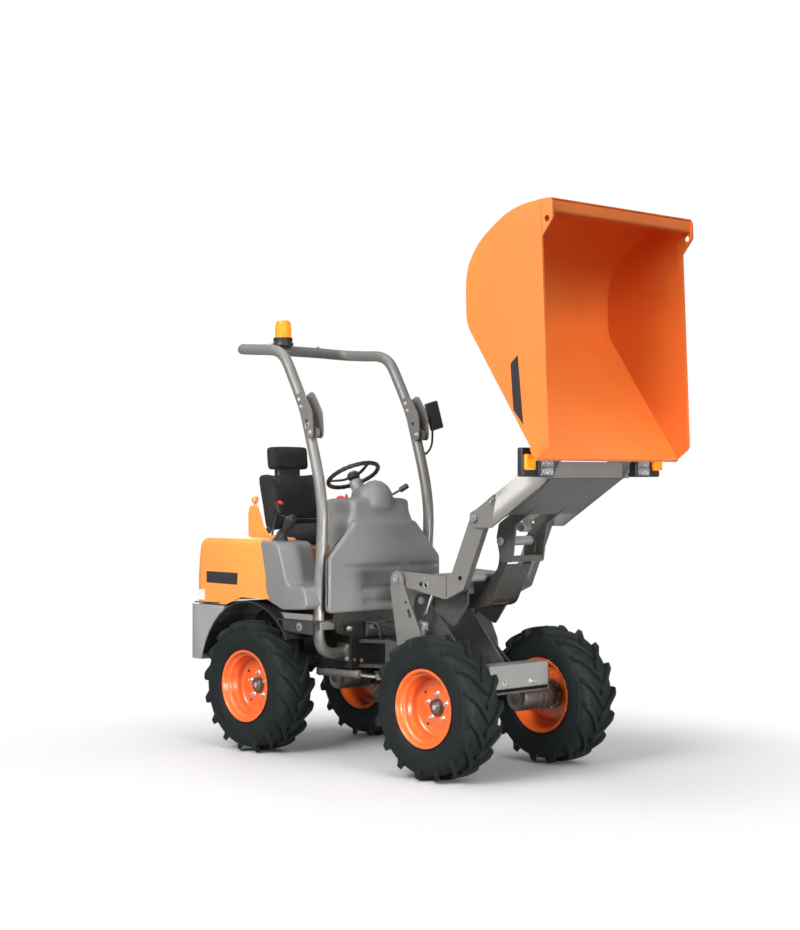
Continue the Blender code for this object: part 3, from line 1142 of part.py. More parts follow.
def make_seat():
    rear = REAR_AXLE_X
    top = SEAT_TOP - 0.135
    wall = 0.006
    base = box("seat_base_shell", (rear + SEAT_BAY_BACK + 0.030, -SEAT_HALF, FLOOR_Z + TOUCH), (rear + 0.243, SEAT_HALF, top - TOUCH))
    hollow = box("seat_base_space", (rear + SEAT_BAY_BACK - 0.05, -SEAT_HALF + wall, FLOOR_Z - 0.10),
                 (rear + 0.243 - wall, SEAT_HALF - wall, top - wall))
    cut(base, hollow)
    part(base, "seat_base", "orange", ROOT)
    cushion = box("seat_cushion_block", (rear - 0.180, -SEAT_HALF, top), (rear + 0.300, SEAT_HALF, SEAT_TOP))
    part(cushion, "seat_cushion", "vinyl", ROOT)
    back = side_plate("seat_back_block", [rounded([
        (rear - 0.180 - TOUCH, SEAT_TOP - 0.060, 0.0), (rear - 0.180 - TOUCH, SEAT_TOP - 0.010, 0.02),
        (rear - 0.225, 1.660, 0.04), (rear - 0.320, 1.650, 0.05),
        (rear - 0.275, SEAT_TOP - 0.060, 0.03)])],
        0.0, 2 * SEAT_HALF)
    part(back, "seat_back", "vinyl", ROOT)
    head = side_plate("headrest_block", [rounded([
        (rear - 0.245, 1.680, 0.03), (rear - 0.250, 1.815, 0.03), (rear - 0.325, 1.815, 0.03), (rear - 0.315, 1.680, 0.03)])],
        0.0, 0.300)
    post = rod("headrest_post", (rear - 0.285, 0, 1.640), (rear - 0.285, 0, 1.70), 0.012)
    cut(bpy.data.objects["seat_back"], rod("headrest_hole", (rear - 0.285, 0, 1.60), (rear - 0.285, 0, 1.80), 0.013))
    join(head, post)
    part(head, "headrest", "vinyl", ROOT)


def make_engine():
    rear = REAR_AXLE_X
    block = box("engine_block", (rear - 0.140, -0.180, 0.512 + TOUCH), (rear + 0.200, 0.180, 1.050))
    return part(block, "engine", "dark", ROOT)


def make_joystick():
    rear = REAR_AXLE_X
    x, y, z = rear - 0.005 + 0.21, -0.345, HOOD_TOP - 0.026 + TOUCH
    boot = rod("boot", (x, y, z), (x, y, z + 0.050), 0.038, 0.014)
    stick = rod("stick", (x, y, z + 0.045), (x + 0.035, y, z + 0.130), 0.007)
    knob = rod("knob", (x + 0.030, y, z + 0.115), (x + 0.045, y, z + 0.165), 0.018, 0.014)
    join(boot, stick, knob)
    return part(boot, "joystick", "black", ROOT)


# Roll bar

def post_knots(side):
    """Places along a lower post (from the steering hinge, across, up)."""
    table = [(-0.371, ROPS_HALF, ROPS_SPLIT_Z - 0.002), (-0.314, ROPS_HALF, 1.820), (-0.270, ROPS_HALF, 1.674),
             (-0.238, ROPS_HALF, 1.540), (-0.221, ROPS_HALF, 1.376), (-0.234, ROPS_HALF, 1.145),
             (-ROPS_BACK - 0.001, ROPS_HALF, 0.920), (-ROPS_BACK, ROPS_HALF, 0.760), (-ROPS_BACK, ROPS_HALF, 0.690),
             (-ROPS_BACK, ROPS_HALF - 0.030, ROPS_FOOT_Z + 0.027), (-ROPS_BACK, ROPS_HALF - 0.095, ROPS_FOOT_Z),
             (-ROPS_BACK, RAIL_HALF + PLATE + 0.008, ROPS_FOOT_Z)]
    return [(HINGE_X + x, side * y, z) for x, y, z in table]


def make_post(side):
    word = "left" if side > 0 else "right"
    post = bent_tube("post_tube", smooth_path(post_knots(side)), ROPS_RADIUS)
    x = HINGE_X - ROPS_BACK
    y0, y1 = sorted((side * (0.345 + TOUCH), side * (ROPS_HALF + 0.03)))
    foot = box("post_foot", (x - 0.045, y0, FLOOR_Z - 0.060), (x + 0.045, y1, FLOOR_Z - 0.008 - TOUCH))
    rail_face = RAIL_HALF + PLATE + TOUCH
    half = ROPS_FLANGE_HALF
    flange = side_plate("post_flange", [rounded([
        (x - half, ROPS_FOOT_Z - half, 0.008), (x + half - 0.008, ROPS_FOOT_Z - half, 0.008),
        (x + half - 0.008, ROPS_FOOT_Z + half, 0.008), (x - half, ROPS_FOOT_Z + half, 0.008)])],
        side * (rail_face + 0.006), 0.012)
    for bolt_z in (-0.036, 0.036):
        join(flange, rod("flange_bolt", (x + 0.032, side * (rail_face + 0.008), ROPS_FOOT_Z + bolt_z),
                         (x + 0.032, side * (rail_face + 0.020), ROPS_FOOT_Z + bolt_z), 0.009, segments=6))
    pin_x = HINGE_X + ROPS_PIN_DX
    lug = side_plate("hinge_lug", [
        rounded([(pin_x - 0.040, ROPS_PIN_Z - 0.045, 0.0), (pin_x + 0.024, ROPS_PIN_Z - 0.024, 0.022),
                 (pin_x + 0.024, ROPS_PIN_Z + 0.024, 0.022), (pin_x - 0.050, ROPS_PIN_Z + 0.045, 0.0)]),
        circle(pin_x, ROPS_PIN_Z, 0.009 + PIN_GAP, 12)],
        side * ROPS_HALF, 0.030)
    join(post, foot, flange, lug)
    return part(post, "roll_bar_post_" + word, "warm_grey", ROOT)


def make_hoop():
    table = [(-0.373, ROPS_HALF, ROPS_SPLIT_Z + 0.004), (-0.410, ROPS_HALF, 2.080), (-0.486, ROPS_HALF, 2.216), (-0.560, ROPS_HALF, 2.330),
             (-0.650, ROPS_HALF, 2.378), (-0.800, ROPS_HALF, 2.390), (-0.900, ROPS_HALF - 0.012, 2.398), (-0.965, ROPS_HALF - 0.090, 2.406),
             (-0.980, 0.200, 2.410)]
    right = [(HINGE_X + x, -y, z) for x, y, z in table]
    left = [(x, -y, z) for x, y, z in reversed(right)]
    hoop = bent_tube("hoop_tube", smooth_path(right + left), ROPS_RADIUS)
    pin_x = HINGE_X + ROPS_PIN_DX
    for side in (-1, 1):
        middle = side * ROPS_HALF
        reach = ROPS_RADIUS + PIN_GAP + ROPS_CHEEK
        for offset in (-1, 1):
            cheek = side_plate("hoop_cheek", [
                rounded([(pin_x - 0.030, ROPS_PIN_Z - 0.030, 0.025), (pin_x + 0.022, ROPS_PIN_Z - 0.026, 0.02),
                         (pin_x + 0.020, ROPS_PIN_Z + 0.120, 0.02), (pin_x - 0.070, ROPS_PIN_Z + 0.245, 0.02),
                         (pin_x - 0.125, ROPS_PIN_Z + 0.215, 0.02)])],
                middle + offset * (reach - ROPS_CHEEK / 2), ROPS_CHEEK)
            join(hoop, cheek)
        for name, dx, dz, radius in (("pin", 0.0, 0.0, 0.009), ("bolt", -0.080, 0.150, 0.009), ("bolt_top", -0.098, 0.195, 0.009)):
            join(hoop, rod("hoop_" + name, (pin_x + dx, middle - reach - 0.005, ROPS_PIN_Z + dz),
                           (pin_x + dx, middle + reach + 0.005, ROPS_PIN_Z + dz), radius, segments=PIN_SEGMENTS))
    part(hoop, "roll_bar_hoop", "warm_grey", ROPS)
    x, y = HINGE_X - 0.981, -0.090
    z = 2.410 + ROPS_RADIUS - 0.004
    base = rod("beacon_base", (x, y, z), (x, y, z + 0.060), 0.066, 0.060)
    lens = rod("beacon_lens", (x, y, z + 0.058), (x, y, 2.600), 0.055, 0.050)
    join(base, lens)
    cut(base, bent_tube("beacon_seat", smooth_path(right + left), ROPS_RADIUS + TOUCH))
    part(base, "beacon", "amber", ROPS)


def make_mirror():
    x = HINGE_X - 0.290
    y = ROPS_HALF + 0.045
    mirror = box("mirror_head", (x - 0.012, y + 0.002, 1.907), (x + 0.012, y + 0.112, 2.100))
    stalk = bent_tube("mirror_stalk", smooth_path([(x - 0.018, y - 0.010, 1.760), (x - 0.005, y + 0.030, 1.790), (x, y + 0.055, 1.860), (x, y + 0.057, 1.930)], 3), 0.007, 1)
    clamp = box("mirror_clamp", (x - 0.040, y - 0.012 + TOUCH, 1.735), (x - 0.002, y + 0.004, 1.785))
    join(mirror, stalk, clamp)
    return part(mirror, "mirror", "black", ROOT)


def build():
    ends = (("front", FRONT_AXLE_X, FRAME_HALF, FRONT), ("rear", REAR_AXLE_X, RAIL_HALF, ROOT))
    for end, axle_x, frame_half, parent in ends:
        for side in (-1, 1):
            make_wheel(end, axle_x, side, parent)
        make_axle(end + "_axle", axle_x, frame_half, parent)
    make_front_frame()
    make_lift_arms()
    make_lift_link()
    make_lift_frame()
    make_skip()
    make_cylinders()
    make_rear_frame()
    make_counterweight()
    make_hood()
    make_cowl()
    make_dash()
    make_steering_wheel()
    make_seat()
    make_engine()
    make_joystick()
    make_hoop()
    make_mirror()
    for side in (-1, 1):
        make_lamp(side)
        make_mudguard(side)
        make_side_panel(side)
        make_post(side)


build()
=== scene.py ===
import math

import bmesh
import bpy
from bpy.props import FloatVectorProperty, PointerProperty
from mathutils import Matrix, Vector


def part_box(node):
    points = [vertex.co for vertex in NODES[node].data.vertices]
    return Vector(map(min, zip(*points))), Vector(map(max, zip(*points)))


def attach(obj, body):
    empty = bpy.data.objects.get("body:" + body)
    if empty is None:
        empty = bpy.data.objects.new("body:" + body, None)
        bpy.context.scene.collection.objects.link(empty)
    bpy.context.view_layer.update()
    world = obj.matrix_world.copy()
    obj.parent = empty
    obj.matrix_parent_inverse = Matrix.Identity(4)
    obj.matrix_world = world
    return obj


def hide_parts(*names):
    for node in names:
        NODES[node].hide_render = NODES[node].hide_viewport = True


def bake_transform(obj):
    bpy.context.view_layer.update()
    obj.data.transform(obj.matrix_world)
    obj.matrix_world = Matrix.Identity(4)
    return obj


bl_info = {
    "name": "Site Dumper",
    "version": (1, 0, 0),
    "blender": (4, 5, 0),
    "location": "View3D > Sidebar > Dumper",
    "description": "Dresses the packed site dumper with its paint, wheels, seat and fittings",
    "category": "Object",
}

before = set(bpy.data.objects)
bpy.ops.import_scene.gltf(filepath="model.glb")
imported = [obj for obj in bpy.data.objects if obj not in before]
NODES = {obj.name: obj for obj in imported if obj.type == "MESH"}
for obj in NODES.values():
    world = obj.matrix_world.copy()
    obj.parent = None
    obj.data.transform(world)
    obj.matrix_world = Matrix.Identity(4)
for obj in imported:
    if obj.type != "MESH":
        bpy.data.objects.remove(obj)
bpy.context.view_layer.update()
SIDES = ((-1, "right"), (1, "left"))

# Directions
X_AXIS = Vector((1, 0, 0))
Y_AXIS = Vector((0, 1, 0))
Z_AXIS = Vector((0, 0, 1))


# Shader maths

EDGE_SAMPLES = 4


class Value:
    """A shader socket that takes part in Python arithmetic."""

    def __init__(self, shader, socket):
        self.shader = shader
        self.socket = socket

    def maths(self, operation, *values):
        return self.shader.node("ShaderNodeMath", {"operation": operation}, dict(enumerate(values)))

    def __add__(self, other):
        return self.maths("ADD", self, other)

    def __sub__(self, other):
        return self.maths("SUBTRACT", self, other)

    def __rsub__(self, other):
        return self.maths("SUBTRACT", other, self)

    def __mul__(self, other):
        return self.maths("MULTIPLY", self, other)

    __radd__ = __add__
    __rmul__ = __mul__

    def above(self, low, high):
        """0 below low, 1 above high, smooth between."""
        sockets = {"Value": self, "From Min": low, "From Max": high}
        return self.shader.node("ShaderNodeMapRange", {"interpolation_type": "SMOOTHSTEP"}, sockets)


class Shader:
    """A material of nodes around one Principled shader."""

    def __init__(self, name, roughness=0.5, metallic=0.0, **constants):
        self.material = bpy.data.materials.new(name)
        self.material.use_nodes = True
        self.tree = self.material.node_tree
        self.surface = self.tree.nodes["Principled BSDF"]
        self.surface.inputs["Roughness"].default_value = roughness
        self.surface.inputs["Metallic"].default_value = metallic
        for socket, value in constants.items():
            self.surface.inputs[socket.replace("_", " ")].default_value = value

    def node(self, kind, settings=None, sockets=None, output=0):
        """Add a node with its settings and its sockets' values or links, and return one output."""
        node = self.tree.nodes.new(kind)
        for name, value in (settings or {}).items():
            if name == "stops":
                ramp = node.color_ramp
                for index, (place, colour) in enumerate(value):
                    stop = ramp.elements[index] if index < 2 else ramp.elements.new(place)
                    stop.position = place
                    stop.color = (*colour, 1.0)
            else:
                setattr(node, name, value)
        for key, value in (sockets or {}).items():
            if isinstance(value, Value):
                self.tree.links.new(value.socket, node.inputs[key])
            elif value is not None:
                node.inputs[key].default_value = value
        return Value(self, node.outputs[output])

    def place(self):
        """The point in the piece's own metres."""
        return self.node("ShaderNodeTexCoord", output="Object")

    def noise(self, scale, detail=3.0, roughness=0.5, stretch=(1, 1, 1)):
        place = self.place()
        if stretch != (1, 1, 1):
            place = self.node("ShaderNodeMapping", {"vector_type": "POINT"},
                              {"Vector": place, "Scale": stretch})
        return self.node("ShaderNodeTexNoise", {"normalize": True},
                         {"Vector": place, "Scale": scale, "Detail": detail, "Roughness": roughness})

    def cells(self, scale, feature="F1", output="Distance"):
        return self.node("ShaderNodeTexVoronoi", {"feature": feature},
                         {"Vector": self.place(), "Scale": scale}, output)

    def edges(self, radius):
        """1 along the piece's outer edges and 0 away from them."""
        bevel = self.node("ShaderNodeBevel", {"samples": EDGE_SAMPLES}, {"Radius": radius})
        normal = self.node("ShaderNodeNewGeometry", output="Normal")
        product = self.node("ShaderNodeVectorMath", {"operation": "DOT_PRODUCT"}, {0: bevel, 1: normal},
                            "Value")
        return (1 - product).above(0.02, 0.25)

    def mix(self, amount, first, second):
        """A colour between two, each a colour or a socket."""
        sockets = {"Factor": amount}
        for index, colour in ((6, first), (7, second)):
            sockets[index] = colour if isinstance(colour, Value) else (*colour, 1.0)
        return self.node("ShaderNodeMix", {"data_type": "RGBA"}, sockets, 2)

    def set(self, socket, value):
        self.tree.links.new(value.socket, self.surface.inputs[socket])

    def relief(self, *layers, soft_edge=0.0):
        """Bump from (height, strength, distance) layers, over edges rounded by the shader."""
        normal = None
        if soft_edge:
            normal = self.node("ShaderNodeBevel", {"samples": EDGE_SAMPLES}, {"Radius": soft_edge})
        for height, strength, distance in layers:
            normal = self.node("ShaderNodeBump", None, {"Height": height, "Strength": strength,
                                                        "Distance": distance, "Normal": normal})
        self.set("Normal", normal)


FINISHES = {}


def finish(make):
    """Keep one material for each finish, named after the function that makes it on first use."""
    def get():
        name = make.__name__
        if name not in FINISHES:
            FINISHES[name] = make(name).material
        return FINISHES[name]
    return get


def shade(colour, factor):
    return tuple(min(channel * factor, 1.0) for channel in colour)


def painted(name, colour, roughness, edge_wear=0.25, soft_edge=0.0025, orange_peel=0.05, coat=0.3,
            metallic=0.0):
    """Sprayed paint: a faint orange peel, slow changes of tone and slightly paler rubbed edges."""
    paint = Shader(name, roughness, metallic, Coat_Roughness=0.18)
    paint.surface.inputs["Coat Weight"].default_value = coat
    tone = paint.noise(2.2, 2.0).above(0.3, 0.7)
    dust = paint.noise(38.0, 4.0, 0.65).above(0.45, 0.8)
    base = paint.mix(tone, shade(colour, 0.93), shade(colour, 1.05))
    base = paint.mix(dust * 0.10, base, (0.42, 0.38, 0.33))
    rubbed = paint.edges(0.004) * paint.noise(55.0, 3.0).above(0.42, 0.62) * edge_wear
    paint.set("Base Color", paint.mix(rubbed, base, shade(colour, 1.35)))
    paint.set("Roughness", paint.noise(14.0, 3.0) * 0.12 + (roughness - 0.06) + rubbed * 0.15)
    paint.relief((paint.noise(420.0, 2.0), orange_peel, 0.0008), (paint.noise(9.0, 2.0), 0.02, 0.01),
                 soft_edge=soft_edge)
    return paint


@finish
def body_orange(name):
    return painted(name, tuple(look().body_colour), 0.40)


# The skip wears the body's orange; its redder, darker tone here is painted shade.
@finish
def skip_orange(name):
    return painted(name, tuple(look().skip_colour), 0.42, edge_wear=0.35)


@finish
def rim_orange(name):
    return painted(name, tuple(look().rim_colour), 0.34, coat=0.5, soft_edge=0.001)


@finish
def frame_grey(name):
    return painted(name, tuple(look().frame_colour), 0.42, edge_wear=0.0, metallic=0.2, coat=0.12)


# The frame paint at a third of its brightness, for the frames' faces other than their outer sides: painted
# shade.
@finish
def frame_dark(name):
    return painted(name, shade(look().frame_colour, 0.33), 0.42, edge_wear=0.0, metallic=0.2)


@finish
def chassis_dark(name):
    return painted(name, tuple(look().chassis_colour), 0.42, edge_wear=0.3, metallic=0.25)


@finish
def plate_grey(name):
    return painted(name, (0.235, 0.232, 0.225), 0.36, edge_wear=0.0, metallic=0.3, orange_peel=0.03)


@finish
def weight_grey(name):
    return painted(name, (0.290, 0.288, 0.284), 0.45, edge_wear=0.3, orange_peel=0.12, coat=0.15)


def moulded(name, colour, roughness, grain=950.0):
    """Rotation-moulded plastic: a fine pebble grain and a dull sheen."""
    plastic = Shader(name, roughness, IOR=1.47)
    tone = plastic.noise(3.0, 2.0).above(0.3, 0.7)
    scuffs = plastic.noise(90.0, 4.0, 0.7, stretch=(1, 1, 0.25)).above(0.62, 0.85)
    base = plastic.mix(tone, shade(colour, 0.92), shade(colour, 1.06))
    rubbed = plastic.edges(0.006) * 0.22
    plastic.set("Base Color", plastic.mix(rubbed + scuffs * 0.10, base, shade(colour, 1.8)))
    plastic.set("Roughness", plastic.noise(22.0, 3.0) * 0.14 + (roughness - 0.07))
    plastic.relief((plastic.cells(grain), 0.14, 0.0006), (plastic.noise(6.0, 2.0), 0.03, 0.01),
                   soft_edge=0.002)
    return plastic


@finish
def cowl_plastic(name):
    return moulded(name, tuple(look().plastic_colour), 0.46)


@finish
def black_plastic(name):
    return moulded(name, (0.018, 0.018, 0.019), 0.42)


@finish
def red_plastic(name):
    return moulded(name, (0.62, 0.035, 0.02), 0.35)


@finish
def tyre_rubber(name):
    """Black rubber with a green-blue bloom, paler dust here and there, and moulding marks."""
    rubber = Shader(name, 0.72, IOR=1.33)
    colour = tuple(look().tyre_colour)
    bloom = rubber.noise(7.0, 4.0, 0.6).above(0.35, 0.75)
    base = rubber.mix(bloom, colour, shade(colour, 1.6))
    base = rubber.mix(rubber.edges(0.006) * 0.30, base, shade(colour, 2.4))
    grit = rubber.noise(160.0, 4.0, 0.7).above(0.6, 0.8)
    rubber.set("Base Color", rubber.mix(grit * 0.05, base, (0.10, 0.10, 0.095)))
    rubber.set("Roughness", rubber.noise(30.0, 4.0) * 0.20 + 0.62)
    rubber.relief((rubber.noise(700.0, 3.0), 0.12, 0.0008), (rubber.noise(60.0, 3.0), 0.10, 0.002))
    return rubber


def bare_metal(name, colour, roughness, scratch=0.04, stretch=(1, 1, 8)):
    """Plated or machined steel with fine turning marks."""
    metal = Shader(name, roughness, 1.0)
    marks = metal.noise(240.0, 3.0, 0.6, stretch=stretch)
    tarnish = metal.noise(25.0, 4.0, 0.6).above(0.45, 0.75)
    metal.set("Base Color", metal.mix(tarnish * 0.35, colour, shade(colour, 0.62)))
    metal.set("Roughness", marks * 0.16 + (roughness - 0.05))
    metal.relief((marks, scratch, 0.0006), soft_edge=0.0008)
    return metal


@finish
def zinc_bolt(name):
    return bare_metal(name, (0.62, 0.61, 0.58), 0.34)


@finish
def chrome_rod(name):
    return bare_metal(name, (0.80, 0.80, 0.81), 0.12, scratch=0.015)


@finish
def dark_steel(name):
    return bare_metal(name, (0.20, 0.185, 0.17), 0.42, scratch=0.08)


@finish
def hose_rubber(name):
    """Hydraulic hose with a wrapped-cloth ribbing."""
    hose = Shader(name, 0.55)
    wrap = hose.noise(340.0, 2.0, stretch=(1, 1, 3))
    hose.set("Base Color", hose.mix(wrap, (0.012, 0.012, 0.013), (0.035, 0.035, 0.036)))
    hose.relief((wrap, 0.35, 0.0012))
    return hose


@finish
def seat_cloth(name):
    """Black seat covering: a fine cross weave with a soft sheen, and slightly worn crowns."""
    cloth = Shader(name, 0.78, Sheen_Weight=0.06, Sheen_Roughness=0.45, IOR=1.35)
    place = cloth.place()
    across = cloth.node("ShaderNodeTexWave", {"wave_type": "BANDS", "bands_direction": "Y"},
                        {"Vector": place, "Scale": 150.0, "Distortion": 0.8, "Detail": 1.0})
    down = cloth.node("ShaderNodeTexWave", {"wave_type": "BANDS", "bands_direction": "DIAGONAL"},
                      {"Vector": place, "Scale": 130.0, "Distortion": 0.8, "Detail": 1.0})
    weave = cloth.node("ShaderNodeMath", {"operation": "MAXIMUM"}, {0: across, 1: down})
    worn = cloth.noise(8.0, 3.0).above(0.35, 0.75)
    base = cloth.mix(weave, (0.003, 0.003, 0.004), (0.011, 0.011, 0.013))
    cloth.set("Base Color", cloth.mix(worn * 0.20, base, (0.020, 0.020, 0.023)))
    cloth.set("Roughness", worn * 0.1 + 0.70)
    cloth.relief((weave, 0.30, 0.0012), (cloth.noise(45.0, 2.0), 0.10, 0.004))
    return cloth


@finish
def seat_vinyl(name):
    """Grained black vinyl on the seat's bolsters."""
    vinyl = Shader(name, 0.45)
    grain = vinyl.cells(430.0, "SMOOTH_F1")
    vinyl.set("Base Color", vinyl.mix(grain.above(0.1, 0.8), (0.020, 0.020, 0.022), (0.010, 0.010, 0.011)))
    vinyl.set("Roughness", vinyl.noise(20.0, 3.0) * 0.16 + 0.36)
    vinyl.relief((grain, 0.25, 0.0012), (vinyl.noise(12.0, 2.0), 0.06, 0.01))
    return vinyl


@finish
def webbing(name):
    strap = Shader(name, 0.8, Sheen_Weight=0.2)
    ribs = strap.node("ShaderNodeTexWave", {"wave_type": "BANDS", "bands_direction": "Z"},
                      {"Vector": strap.place(), "Scale": 220.0, "Distortion": 0.4})
    strap.set("Base Color", strap.mix(ribs, (0.012, 0.012, 0.013), (0.04, 0.04, 0.042)))
    strap.relief((ribs, 0.4, 0.0008))
    return strap


def coloured_lens(name, colour, roughness=0.08, painted_glow=0.0, transmission=0.55):
    """Moulded lens plastic with its inner ribbing, and a painted glow in its own colour."""
    lens = Shader(name, roughness, IOR=1.49, Transmission_Weight=transmission, Emission_Strength=painted_glow)
    lens.surface.inputs["Emission Color"].default_value = (*colour, 1.0)
    ribs = lens.node("ShaderNodeTexWave", {"wave_type": "BANDS", "bands_direction": "Z"},
                     {"Vector": lens.place(), "Scale": 60.0, "Distortion": 0.0})
    lens.set("Base Color", lens.mix(ribs, shade(colour, 0.8), shade(colour, 1.15)))
    lens.relief((ribs, 0.25, 0.002))
    return lens


# The amber lenses glow faintly though no lamp lights them: painted light.
@finish
def amber_lens(name):
    return coloured_lens(name, tuple(look().amber_colour), painted_glow=0.35, transmission=0.25)


@finish
def clear_lens(name):
    return coloured_lens(name, (0.86, 0.88, 0.90), 0.06, transmission=0.85)


@finish
def lamp_reflector(name):
    return bare_metal(name, (0.82, 0.83, 0.84), 0.14)


@finish
def mirror_glass(name):
    glass = Shader(name, 0.03, 1.0)
    smear = glass.noise(12.0, 4.0).above(0.5, 0.8)
    glass.set("Base Color", glass.mix(smear, (0.86, 0.88, 0.90), (0.74, 0.77, 0.80)))
    glass.set("Roughness", smear * 0.08 + 0.02)
    return glass


@finish
def gauge_face(name):
    face = Shader(name, 0.2)
    face.set("Base Color",
             face.mix(face.noise(40.0).above(0.4, 0.6), (0.02, 0.02, 0.022), (0.03, 0.03, 0.033)))
    return face


def film(name, colour, roughness=0.35):
    """A blank adhesive film."""
    sticker = Shader(name, roughness)
    tone = sticker.noise(20.0, 2.0)
    sticker.set("Base Color", sticker.mix(tone, shade(colour, 0.9), shade(colour, 1.08)))
    sticker.set("Roughness", tone * 0.1 + roughness - 0.05)
    return sticker


@finish
def black_film(name):
    return film(name, (0.022, 0.022, 0.024))


@finish
def white_film(name):
    return film(name, (0.72, 0.72, 0.72))


@finish
def shadow_black(name):
    """The unlit inside of a hole or bay."""
    return film(name, (0.008, 0.008, 0.008), 0.9)


# Shapes

def circle_points(count, start=0.0):
    turns = [start + 2 * math.pi * i / count for i in range(count)]
    return [(math.cos(turn), math.sin(turn)) for turn in turns]


def square_to(direction):
    """The direction at length 1, and two more square to it."""
    along = Vector(direction).normalized()
    guide = Z_AXIS if abs(along.z) < 0.9 else X_AXIS
    across = guide.cross(along).normalized()
    return along, across, along.cross(across)


def smooth_path(knots, steps=6):
    """Points on a curve through the knots."""
    knots = [Vector(knot) for knot in knots]
    padded = [2 * knots[0] - knots[1], *knots, 2 * knots[-1] - knots[-2]]
    points = []
    for before, start, end, after in zip(padded, padded[1:], padded[2:], padded[3:]):
        for step in range(steps):
            t = step / steps
            points.append(0.5 * (2 * start + (end - before) * t
                                 + (2 * before - 5 * start + 4 * end - after) * t ** 2
                                 + (3 * start - before - 3 * end + after) * t ** 3))
    return [*points, knots[-1]]


def rounded(corners, steps=5):
    """An outline with its (u, v, radius) corners rounded."""
    points = []
    for index, (u, v, radius) in enumerate(corners):
        corner = Vector((u, v))
        if not radius:
            points.append(corner)
            continue
        before = (Vector(corners[index - 1][:2]) - corner).normalized()
        after = (Vector(corners[(index + 1) % len(corners)][:2]) - corner).normalized()
        half = before.angle(after) / 2
        middle = corner + (before + after).normalized() * radius / math.sin(half)
        start, end = (corner + way * radius / math.tan(half) - middle for way in (before, after))
        for step in range(steps + 1):
            points.append(middle + start.lerp(end, step / steps).normalized() * radius)
    return points


def side_view(y):
    """Outline points (x, z) with their thickness across the machine, about y."""
    return lambda u, v, w: Vector((u, y + w, v))


